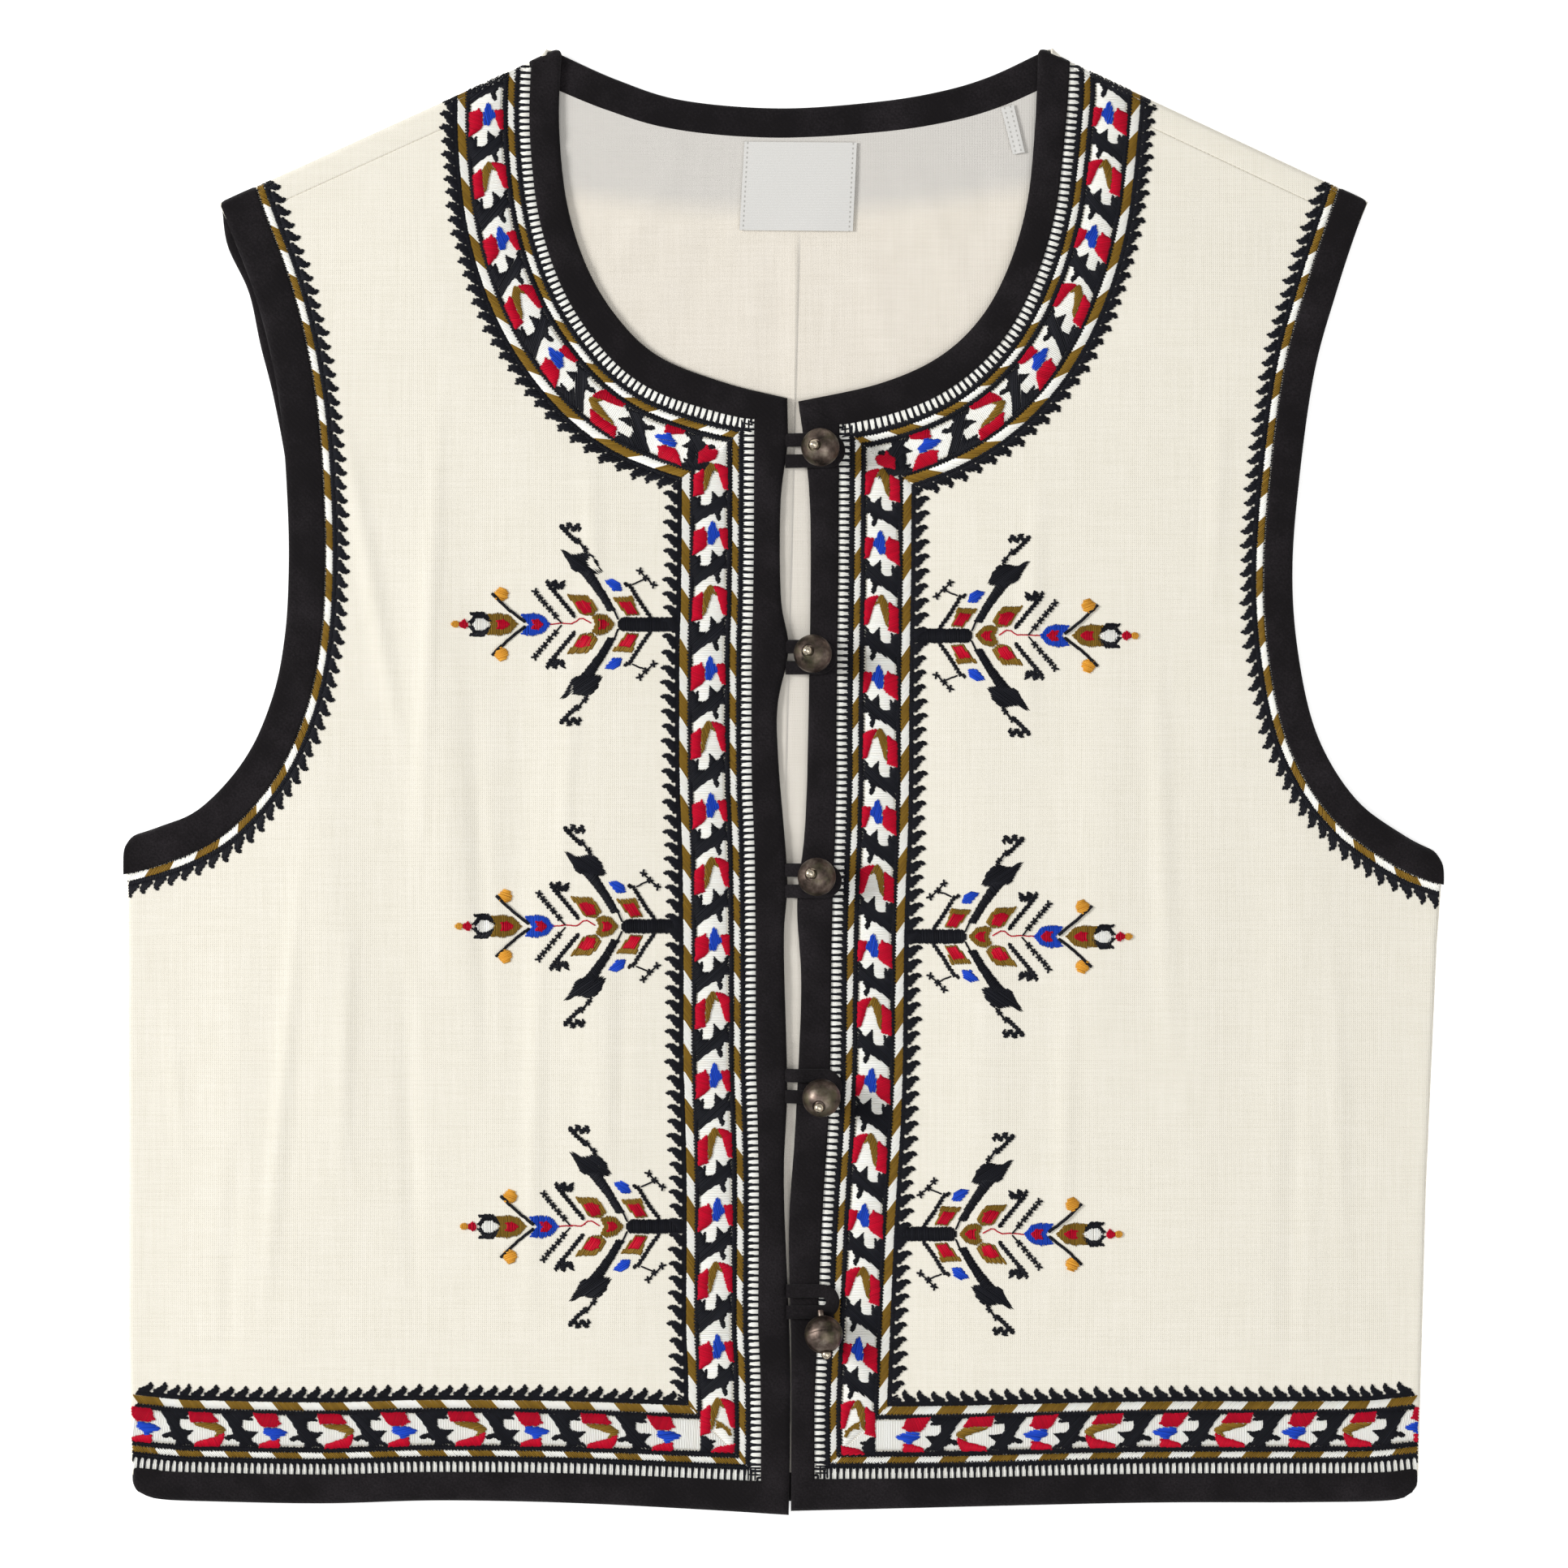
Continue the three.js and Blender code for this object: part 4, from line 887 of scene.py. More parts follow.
def makeBand(side, inside, startRun=0.0, endRun=0.0):
    # A stretch of border along a line, with s along it and t across it into the cloth
    rows = spaced(np.array(inside, float), border["smoothing"])
    rows[0] += unit(rows[0] - rows[1]) * startRun
    rows[-1] += unit(rows[-1] - rows[-2]) * endRun
    line = curveThrough(rows, border["lineStep"])
    along, gone = tangents(line), runAlong(line)
    return {"side": side, "line": line, "along": along, "normal": leftOf(along) * clothOn[side], "gone": gone,
            "length": gone[-1], "neighbours": []}


def acrossOf(band, points):
    # How far points in plan lie from a band's line, which runs straight on past its ends
    on = np.arange(border["lineStep"], border["runOn"], border["lineStep"])[:, None]
    line = np.vstack([
        band["line"][0] - on[::-1] * band["along"][0], band["line"],
        band["line"][-1] + on * band["along"][-1],
    ])
    normal = np.pad(band["normal"], ((len(on), len(on)), (0, 0)), mode="edge")
    nearest = np.argmin(((points[:, None] - line[None]) ** 2).sum(axis=2), axis=1)
    return ((points - line[nearest]) * normal[nearest]).sum(axis=1)


def onBand(band, s, t):
    # Past either end the band goes straight on
    held = np.clip(s, 0, band["length"])
    past = (s - held)[:, None] * np.where((s < 0)[:, None], band["along"][0], band["along"][-1])
    place, normal = [
        np.stack([np.interp(held, band["gone"], band[row][:, axis]) for axis in (0, 1)], axis=1)
        for row in ("line", "normal")
    ]
    return place + past + normal * t[:, None]


def alongBand(band, point):
    return band["gone"][np.argmin(np.linalg.norm(band["line"] - np.array(point), axis=1))]


def stretchAt(band, t):
    row = onBand(band, band["gone"], np.full(len(band["gone"]), t))
    return runAlong(row)[-1] / band["length"]


def sew(band, colour, s0, t0, s1, t1, level=0.0, width=None, isWhole=False):
    # Unless it is whole, a row stops at the mitre, where the next band's line is as near as its own
    starts, ends = [np.column_stack([onBand(band, s, t), t]) for s, t in ((s0, t0), (s1, t1))]
    for other in [] if isWhole else band["neighbours"]:
        startIn, endIn = [acrossOf(other, rows[:, :2]) - rows[:, 2] for rows in (starts, ends)]
        starts, ends = trim(starts, ends, startIn, endIn)
    addStitches(band["side"], colour, starts[:, :2], ends[:, :2], level, width)


def rowPlaces(band, pitch, t):
    count = max(2, int(band["length"] * stretchAt(band, t) / pitch))
    return (np.arange(count) + 0.5) * band["length"] / count


def shakes(count, reach=border["shake"]):
    return chance.uniform(-reach, reach, count)


def satinRow(band, colour, span, pitch=border["pitch"], slant=0, ragged=border["shake"], saw=(0, 0), level=0):
    # Parallel stitches across a stripe. saw draws every other stitch out at an edge
    s = rowPlaces(band, pitch, sum(span) / 2)
    odd = np.arange(len(s)) % 2
    near = span[0] - saw[0] * odd + shakes(len(s), ragged)
    far = span[1] + saw[1] * odd + shakes(len(s), ragged)
    sew(band, colour, s - slant / 2, near, s + slant / 2, far, level)


def barberRow(band, span, slant, oliveShare=0.52):
    s = rowPlaces(band, border["barberPitch"], sum(span) / 2)
    pairs = max(1, round(band["length"] / border["stripePitch"]))
    share = (s / band["length"] * pairs) % 1
    near, far = span[0] + shakes(len(s)), span[1] + shakes(len(s))
    for colour, chosen in (("olive", share < oliveShare), ("white", share >= oliveShare)):
        sew(band, colour, (s - slant / 2)[chosen], near[chosen], (s + slant / 2)[chosen], far[chosen])


def fillShape(points, angle, pitch=0.54, ragged=0.25):
    # Satin fill of a charted shape: parallel stitches at an angle, each clipped to the outline
    bend = math.radians(angle)
    turn = np.array([[math.cos(bend), math.sin(bend)], [-math.sin(bend), math.cos(bend)]])
    turned = np.array(points, float) @ turn.T
    rows = []
    for y in np.arange(turned[:, 1].min() + pitch * 0.5, turned[:, 1].max(), pitch):
        hits = []
        for (x0, y0), (x1, y1) in zip(turned, np.roll(turned, -1, axis=0)):
            if (y0 > y) != (y1 > y):
                hits.append(x0 + (y - y0) / (y1 - y0) * (x1 - x0))
        hits.sort()
        for x0, x1 in zip(hits[::2], hits[1::2]):
            if x1 - x0 > 0.25:
                rows.append((x0 - chance.uniform(0, ragged), y, x1 + chance.uniform(0, ragged), y))
    rows = np.array(rows).reshape(-1, 4)
    return np.hstack([rows[:, :2] @ turn, rows[:, 2:] @ turn])


# One tooth of the outer edge, along and across: a leaning leaf with ragged stitch ends
toothChart = [
    (-2.1, -0.6), (1.8, -0.6), (2.2, 0.8), (2.9, 2.2), (3.3, 3.4), (2.9, 4.2), (2.2, 4.9), (1.5, 4.1),
    (1.6, 3.4), (0.8, 3.2), (0.3, 2.5), (-0.3, 2.4), (-0.9, 1.5), (-1.6, 1.3), (-2, 0.4),
]


def teeth(band, base, reach, pitch):
    rows = fillShape(toothChart, 55, 0.5, 0.35)
    s = rowPlaces(band, pitch, base + reach)
    long = chance.uniform(0.9, 1.1, (len(s), 1)) * reach / border["toothReach"]
    near, far = rows[:, 1] * long, rows[:, 3] * long
    sew(band, "black", (s[:, None] + rows[:, 0]).ravel(), base + near.ravel(),
        (s[:, None] + rows[:, 2]).ravel(), base + far.ravel(), 0.1, 0.7)


# The border's repeat, charted across from the binding side, and forward. Colour, angle, outline
budLeaf = ("black", -42, [
    (12.7, -8.8), (11.4, -8.8), (10.8, -9.6), (9.9, -8.2), (9.7, -10), (9.8, -12.2), (8.8, -12.4),
    (6.8, -12.2), (6, -11), (5.8, -10.4), (5.5, -6.3), (5.2, -7), (4.4, -7.6), (3.6, -8.6), (2.4, -8.6),
    (1.6, -7.8), (1, -6.8), (-0.2, -5.8), (-0.2, -13.3), (1.4, -13.3), (2.2, -14.2), (2.9, -16), (2.3, -17),
    (2.5, -18.4), (3.2, -19), (3.9, -17.8), (4.4, -16.2), (5.2, -15.6), (6.4, -16.4), (8, -17.4),
    (9.6, -18.4), (11, -19.4), (12.7, -20.8),
])
budChart = {
    "blue": [
        budLeaf,
        ("blue", 80, [(5.7, 4.8), (7, 1.4), (7.2, -3), (6.8, -4.3), (5.2, -4.8), (4.6, -4), (4, -2.2),
                      (2.8, -1.4), (2.9, 0.2), (4, 1.8), (4.8, 3.8)]),
        ("crimson", 20, [(12.6, 0.2), (11, 1), (9.6, 1.2), (8.8, 2.1), (8, 0.5), (7.3, 0), (7.2, -4.8),
                         (8.6, -6.2), (10.4, -7.4), (12.6, -8.6)]),
        ("crimson", 155, [(3, 1.4), (-0.2, 1.8), (-0.2, -6), (1.2, -5.8), (2, -3.6), (2.7, -1.9)]),
    ],
    "olive": [
        budLeaf,
        ("olive", 75, [(8.5, 2.6), (7.6, 4), (6.6, 5.5), (5.6, 5.7), (5, 4.4), (4.2, 3), (3.6, 1.6),
                       (5.2, 2.4), (5.8, 0.8), (6.6, -2), (7.4, -5), (8.6, -6.6), (8.8, -2)]),
        ("crimson", 155, [(5.1, 4.9), (3.4, 5.2), (1.6, 4.6), (-0.2, 3.4), (-0.2, -5.6), (1.2, -5.4),
                          (2.2, -2.6), (3.2, 0.8), (4.1, 3)]),
        ("crimson", 20, [(12.6, 0.6), (10.6, 1.6), (9.2, 2.7), (8.6, 2), (8.8, -4.2), (8.6, -7.6),
                         (10.6, -8.2), (12.6, -8.6)]),
    ],
    "hemCorner": [
        ("olive", 60, [(6.8, -3), (5.2, -3.6), (3.4, -4.8), (1.6, -6.4), (0.7, -8.6), (1.9, -9.2),
                       (2.9, -6.8), (4.6, -5.8), (6.6, -6)]),
        ("crimson", 15, [(8.6, -15), (7.4, -13.4), (5.2, -12.8), (3, -12.5), (-0.2, -11.8), (-0.2, -15.3)]),
        ("black", 45, [(12.5, -8.6), (11, -8.8), (9.4, -10.2), (6.6, -10.8), (8.4, -12), (7.2, -13),
                       (9.2, -15.3), (12.5, -15.3)]),
    ],
    "neckCorner": [
        ("crimson", 30, [(10.9, 8.6), (8.6, 10.4), (7.5, 11.6), (6.7, 9.8), (4.5, 9.9), (3.4, 8.6),
                         (4.1, 6.2), (6, 5.4), (8.6, 5), (10.8, 4.6)]),
        ("black", 40, [(12.5, 4.2), (11.6, 7.4), (12, 9.6), (12.5, 12), (14, 13), (15, 8), (13.8, 4)]),
    ],
}
budStitches = {
    kind: [(colour, fillShape(outline, angle)) for colour, angle, outline in rows]
    for kind, rows in budChart.items()
}


def sewBud(band, kind, s, squeeze=1.0, hasLeaf=True):
    grown = stretchAt(band, sum(border["field"]) / 2) / squeeze
    base = border["field"][0]
    for colour, rows in budStitches[kind][0 if hasLeaf else 1:]:
        nudge = shakes(len(rows))
        level, width = (0.16, 0.74) if colour == "black" else (0.3, 0.68)
        sew(band, colour, s + rows[:, 1] / grown, base + rows[:, 0] + nudge,
            s + rows[:, 3] / grown, base + rows[:, 2] + nudge, level, width, isWhole=True)


def sewLadder(band):
    near, far = border["ladder"]
    satinRow(band, "white", (near - 0.7, far), 0.6, ragged=0.05, level=-0.12)
    rungs = rowPlaces(band, border["rungPitch"], (near + far) / 2)
    tilt = shakes(len(rungs), 0.15)
    foot, top = [np.full(len(rungs), t) for t in (near - 0.7, far + 0.3)]
    for shift in (-0.13, 0.13):
        sew(band, "black", rungs + shift, foot, rungs + tilt + shift, top, 0.14, 0.6)
    for shift in (-0.42, 0.42):  # each rung is a wedge, wider at the stripe
        reach = chance.uniform(0.35, 0.65, len(rungs)) * far
        sew(band, "black", rungs + shift * 0.5, reach, rungs + tilt + shift, top, 0.1, 0.56)


def sewBorder(band, stripeSlant, toothReach):
    sewLadder(band)
    satinRow(band, "black", border["inkLine"], 0.6, saw=(0.4, 0.5), slant=0.9, level=0.08)
    barberRow(band, border["innerStripe"], stripeSlant * 2.8)
    satinRow(band, "black", border["innerLine"], 0.6, saw=(0.35, 0.4), slant=0.6, level=0.2)
    satinRow(band, "white", border["field"], 0.62, level=-0.08)
    satinRow(band, "black", border["outerLine"], 0.6, saw=(0.3, 0.5), slant=0.6, level=0.2)
    barberRow(band, border["outerStripe"], stripeSlant * 3.7)
    satinRow(band, "black", border["toothBand"], saw=(0.1, 0), slant=0.8, level=0.06)
    teeth(band, border["toothBand"][1], toothReach, border["toothPitch"])


def sewCorner(before, after):
    # The two ladders meet in a square with a cross in it
    middle, wide = border["ladder"][1] / 2, border["ladder"][1] * 1.1
    for band, corner in ((before, before["length"]), (after, 0.0)):
        out = -wide if corner else wide
        for t in (middle, wide):
            rows = [np.array([place]) for place in (corner, t, corner + out, t)]
            sew(band, "black", *rows, 0.1, 0.6, isWhole=True)


# Slant of the stripes and reach of the teeth
borderForms = {"hem": (-0.85, 3.9), "edge": (1.5, 4.9), "neck": (1.3, 4.6)}
bands = {}
for side in sides:
    shape = edges[side]
    bands[side] = row = {
        "hem": makeBand(side, inner(shape["hem"], 0)[::-1], startRun=4),
        "edge": makeBand(side, inner(shape["edge"], 0)),
        "neck": makeBand(side, inner(shape["neck"], 0), endRun=4),
        "armhole": makeBand(side, inner(shape["armhole"], 0), startRun=4),
    }
    meetings = [(row["hem"], row["edge"]), (row["edge"], row["neck"])]
    for one, other in meetings:
        one["neighbours"].append(other)
        other["neighbours"].append(one)
    for name, form in borderForms.items():
        sewBorder(row[name], *form)
    for one, other in meetings:
        sewCorner(one, other)

# Places of the first and last bud in plan, their number, and the kind that comes first
budRows = {
    "right": {
        "hem": ((-234.5, -243), (-42.1, -243), 9, "blue"), "edge": ((-25, -233.2), (-25, 91.5), 14, "olive"),
        "neck": ((-42.9, 126.8), (-110.7, 246.8), 7, "blue"),
    },
    "left": {
        "hem": ((242.3, -243), (45.2, -243), 9, "blue"), "edge": ((28, -233.5), (28, 89), 14, "olive"),
        "neck": ((53.4, 126.4), (121.8, 247), 7, "blue"),
    },
}
cornerBud = {"right": (-25, 112.4), "left": (28, 111)}
for side, rows in budRows.items():
    for name, (first, last, count, kind) in rows.items():
        band = bands[side][name]
        start, end = alongBand(band, first), alongBand(band, last)
        pitch = (end - start) / (count - 1)
        kinds = (kind, "olive" if kind == "blue" else "blue")
        for i in range(count + (name == "neck")):  # one more runs over the neck's shoulder fold
            sewBud(band, kinds[i % 2], start + i * pitch, hasLeaf=name != "edge" or i > 0)
        if name == "edge":
            sewBud(band, "hemCorner", start)
    corner = alongBand(bands[side]["edge"], cornerBud[side])
    sewBud(bands[side]["edge"], "olive", corner, squeeze=0.88)
    sewBud(bands[side]["edge"], "neckCorner", corner)

armholeRows = {"stripe": (0.3, 3.1), "line": (3.0, 4.9), "reach": 4.1, "pitch": 5.3}
for side in sides:
    band = bands[side]["armhole"]
    barberRow(band, armholeRows["stripe"], 3.0)
    satinRow(band, "black", (-0.5, 0.3), 0.9, saw=(0, 0.35), slant=0.4, level=0.1)
    satinRow(band, "black", armholeRows["line"], saw=(0.3, 0.1), slant=0.8, level=0.06)
    teeth(band, armholeRows["line"][1], armholeRows["reach"], armholeRows["pitch"])

# The sprig, charted for one half: out along the stem, and across. What isn't one of a pair is half of a whole
sprigChart = {
    "shapes": [  # colour, angle, outline, and whether it is one of a pair
        ("black", 90, [(-3, 2.8), (21.6, 2.8), (23.2, 1)], False),
        ("black", -52, [(24, 5.6), (26.8, 4.8), (31.2, 12), (34.6, 16.2), (37.8, 20.6), (33, 21.2),
                        (30.8, 17.4), (27, 11)], True),
        ("black", 35, [(44.8, 28.6), (41.8, 24), (40.2, 21), (37.6, 19.6), (33.6, 19.6), (30.4, 18.8),
                       (28.6, 20), (30, 22), (30.6, 24.2), (33, 26.4), (35.2, 27.4), (38.2, 27),
                       (40.8, 26.6), (43.2, 28.4)],
         True),
        ("olive", 60, [(15, 3.4), (19.6, 3), (25.2, 10.4), (17.6, 10.8), (16.4, 6)], True),
        ("crimson", 60, [(16.2, 4), (19.4, 3.6), (22.8, 8.4), (18.4, 8.8)], True),
        ("blue", 30, [(21.2, 12.6), (24.8, 12.8), (28.4, 16.8), (25, 17.4), (22.4, 16)], True),
        ("olive", 90, [(24.2, 0), (27.2, 3.6), (30.8, 4.4), (32.6, 2.6), (31.6, 0)], False),
        ("crimson", 90, [(26.4, 0), (28.2, 1.8), (30.4, 2), (29.6, 0)], False),
        ("olive", 60, [(30.8, 5.2), (32.4, 3), (36.6, 3.4), (42.2, 11.4), (34.8, 11.2), (32, 8)], True),
        ("crimson", 60, [(32.6, 4.6), (36, 3.8), (39.2, 8.4), (36.4, 9.4), (33.6, 8)], True),
        ("blue", 90, [(48.4, 0), (51.2, 3.6), (55, 4.6), (59.2, 3.8), (58, 1.6), (56.4, 0)], False),
        ("crimson", 90, [(50.8, 0), (53, 2.1), (55.4, 1.7), (54.4, 0)], False),
        ("olive", 90, [(60.4, 0), (63.6, 3.6), (67.6, 4.6), (71.8, 3.8), (70.4, 0)], False),
        ("crimson", 90, [(63.2, 0), (65.8, 2), (68.4, 1.5), (67.6, 0)], False),
        ("white", 90, [(71, 0), (73.4, 2.6), (76.2, 2.4), (77.6, 0)], False),
        ("black", 60, [(69.8, 0.3), (71.2, 3), (73.4, 4.8), (78.8, 4.6), (77, 3), (79, 1), (77.4, 0),
                       (75.8, 2.3), (73.2, 2)], True),
        ("crimson", 90, [(78.8, 0), (80.4, 2), (82.4, 0.6)], False),
        ("amber", 90, [(82.4, 0), (83, 1.3), (84.6, 1.2), (85.2, 0)], False),
        ("amber", 20, [(63.8, 11.2), (64.6, 9.4), (66.6, 8.8), (68.8, 9.8), (69.2, 12.2), (67.2, 14),
                       (64.8, 13.2)], True),
    ],
    "bars": [  # thickness and line
        (1.7, [(10.8, 2.6), (14.4, 7.6), (18.8, 14.8), (20.6, 15.4)]),
        (1.8, [(39.2, 3), (42, 6.4), (45.2, 10.4), (48.6, 14.4), (49.6, 16.4)]),
        (1.8, [(46.6, 13), (46.8, 16.6)]),
        (1.8, [(43.8, 13.6), (43.6, 16.2)]),
        (1.8, [(43.6, 16), (45.2, 13.6), (46.8, 16.4), (48.4, 14.2)]),
        (1.8, [(38.4, 31.2), (41.2, 34), (44.6, 37.4)]),
        (1.7, [(44.4, 37.6), (42.2, 35.8), (41.4, 38.6), (39.6, 35.6), (38.2, 38.2), (37.2, 36)]),
    ],
    "runs": [  # colour, thread's width, line, and whether it is one of a pair
        ("black", 0.7, [(23, 2), (24.6, 5.4)], True),
        ("black", 0.6, [(17.6, 15.2), (13, 17.2)], True),
        ("black", 0.6, [(15, 20.2), (12.6, 17.6), (9.8, 15)], True),
        ("black", 0.6, [(44.2, 0.4), (54.2, 12.4)], True),
        ("black", 0.8, [(34.4, 27.2), (37.2, 31), (39.4, 33)], True),
        ("black", 1.1, [(57.8, 0.8), (64, 5.8), (70, 11.6)], True),
        ("crimson", 0.45, [(33.2, 0.4), (36.8, 2.6), (39.6, 0.2), (44.4, 0.4), (48.6, 0)], False),
    ],
    "crosses": [  # size and place
        (2.5, 15, 20.2), (2.3, 12.6, 17.6), (2.5, 9.8, 15), (2.4, 46.6, 3.4), (2.4, 48.6, 5.8),
        (2.4, 50.5, 8.1), (2.4, 52.3, 10.2), (2.6, 54, 12.4), (2.2, 35.4, 28.8), (2.2, 38, 31.8),
    ],
}


def sprigStitches():
    found = []
    for colour, angle, outline, isPair in sprigChart["shapes"]:
        whole = outline if isPair else [(x, -y) for x, y in outline] + outline[::-1]
        level = 0.2 if colour in ("crimson", "amber") else 0.0
        found.append((colour, fillShape(whole, angle), 0.74, level, isPair))
    for thick, line in sprigChart["bars"]:
        path = spaced(np.array(line, float), 0.5)
        along = tangents(path)
        bend = math.radians(30)
        across = leftOf(along) * math.cos(bend) + along * math.sin(bend)
        reach = thick / 2 * (1 + 0.3 * (np.arange(len(path)) % 3 - 1))[:, None]
        found.append(("black", np.hstack([path - across * reach, path + across * reach]), 0.62, 0.1, True))
    for colour, width, line, isPair in sprigChart["runs"]:
        path = spaced(np.array(line, float), 1.7)
        step = np.diff(path, axis=0) * 0.18
        found.append((colour, np.hstack([path[:-1] - step, path[1:] + step]), width, 0.12, isPair))
    for size, x, y in sprigChart["crosses"]:
        half = size * 0.62
        rows = np.array([(x - half, y - 0.3, x + half, y + 0.3), (x + 0.3, y - half, x - 0.3, y + half)])
        found.append(("black", rows, 0.75, 0.16, True))
    return found


# Each sprig's foot and the x of the saw teeth's line beside it
sprigPlaces = {
    "right": [(-38.3, 57.9, -39.1), (-36.9, -53.6, -38.0), (-35.1, -164.5, -36.9)],
    "left": [(46.7, 53.7, 47.7), (44.4, -57.4, 44.6), (40.8, -167.3, 41.5)],
}
sprigScale = np.array([0.99, 0.97])
sprig = sprigStitches()
for side, feet in sprigPlaces.items():
    out = -clothOn[side]
    for x, y, line in feet:
        for colour, rows, width, level, isPair in sprig:
            for flip in ((1, -1) if isPair else (1,)):
                scale, shake = sprigScale * (out, flip), shakes((len(rows), 2)) + (x, y)
                starts, ends = rows[:, :2] * scale + shake, rows[:, 2:] * scale + shake
                clear = (starts[:, 0] - line) * out > 0  # the stem starts at the line
                addStitches(side, colour, starts[clear], ends[clear], level, width)


def sewMesh(side, colour, parts, threadPoints, threadFaces):
    # Lays every stitch of one colour on the cloth, as one joined mesh
    starts, ends, level, width = [np.concatenate(rows) for rows in zip(*parts)]
    start3, end3 = [np.column_stack([p, clothTop(side, p) + level - border["sunk"]]) for p in (starts, ends)]
    way = end3 - start3
    length = np.linalg.norm(way, axis=1)
    aside = np.column_stack([-way[:, 1], way[:, 0], np.zeros(len(way))])
    aside *= (width / np.linalg.norm(aside, axis=1))[:, None]
    x, y, z = threadPoints.T
    middle = ((start3 + end3) / 2)[:, None]
    points = middle + way[:, None] * x[None, :, None] + aside[:, None] * y[None, :, None]
    points[:, :, 2] += z[None] * (border["roundness"] * width)[:, None]
    count, size = len(way), len(threadPoints)
    corners = np.array([i for f in threadFaces for i in f])
    loops = (np.arange(count)[:, None] * size + corners[None]).ravel()
    sizes = np.tile([len(f) for f in threadFaces], count)
    name = f"stitches_{colour}_{side}"
    mesh = bpy.data.meshes.new(name)
    mesh.vertices.add(count * size)
    mesh.vertices.foreach_set("co", (points * mm).astype(np.float32).ravel())
    mesh.loops.add(len(loops))
    mesh.loops.foreach_set("vertex_index", loops.astype(np.int32))
    mesh.polygons.add(len(sizes))
    mesh.polygons.foreach_set("loop_start", np.concatenate([[0], np.cumsum(sizes)[:-1]]).astype(np.int32))
    mesh.polygons.foreach_set("use_smooth", np.ones(len(sizes), bool))
    mesh.update(calc_edges=True)
    mesh.validate()
    tone = chance.uniform(0, 1, count)
    tones = np.repeat(tone[:, None], size, axis=1)
    thread = np.stack([x[None] * length[:, None], y[None] * width[:, None], tones], axis=2)
    mesh.attributes.new("thread", "FLOAT_VECTOR", "POINT").data.foreach_set(
        "vector", thread.astype(np.float32).ravel())
    piece = addObject(name, mesh, colour)
    print("  sewn", name, count, "stitches,", sum(len(f) - 2 for f in threadFaces) * count, "triangles")
    return takePlace(piece, f"thread_{colour}")


threadPoints, threadFaces = makeThread()
embroidery = {"right": [], "left": []}
for (side, colour), parts in stitches.items():
    embroidery[side].append(sewMesh(side, colour, parts, threadPoints, threadFaces))
print("stage 5: embroidery sewn")

# Buttons and loops
ball = {
    "radius": 7.05, "shankRadius": 1.1, "shankReach": 9.2, "shankTop": -6.9, "leanReach": 8,
    "grooves": [(91, 0.14), (118, 0.04)], "grooveWidth": 1.5, "knobRadius": 1.8, "knobReach": 7.7,
    "sunkRing": [(2.35, 6.5), (2.2, 6.25), (1.75, 6.2), (1.45, 6.5)], "wornFrom": 7.2, "around": 40,
}
buttons = [  # x, y, lean x, lean y, where it hangs from if its loop lies apart
    (13.5, 122.8, -2.6, 0.6, None), (10.7, 46.9, -2.2, 1, None), (12.2, -35.2, -2.6, 1.4, None),
    (13.9, -116.5, -1.1, -3.3, None), (14.7, -203.7, 1, -7.3, (14.3, -192.2)),
]
loopSizes = {
    "width": 5.0, "wall": 2.0, "bend": 3.9, "sewnIn": 0.8, "sides": 16, "step": 0.8, "turnPoints": 9,
    "round": 0.8,
}
loopRest = layers["frontRest"] + layers["bindingWall"] + layers["seamGap"]
ballHeight = loopRest + loopSizes["wall"] + layers["seamGap"] + ball["radius"]


def ballProfile():
    # Radius and height from the shank up to the knob: two half shells, engraved rings, and a sunk ring
    radius, knob, shank = ball["radius"], ball["knobRadius"], ball["shankRadius"]
    rows = [(0.0, -ball["shankReach"]), (shank, -ball["shankReach"]), (shank, ball["shankTop"])]
    for degrees in np.arange(12, 161, 2.0):
        cut = 0
        for at, depth in ball["grooves"]:
            cut += depth * math.exp(-((degrees - at) / ball["grooveWidth"]) ** 2)
        bend = math.radians(degrees)
        rows.append(((radius - cut) * math.sin(bend), -(radius - cut) * math.cos(bend)))
    rows += ball["sunkRing"]
    for bend in np.radians(range(50, 180, 13)):
        rows.append((knob * math.sin(bend), ball["knobReach"] - knob * math.cos(bend)))
    rows.append((0.0, ball["knobReach"] + knob))
    return rows


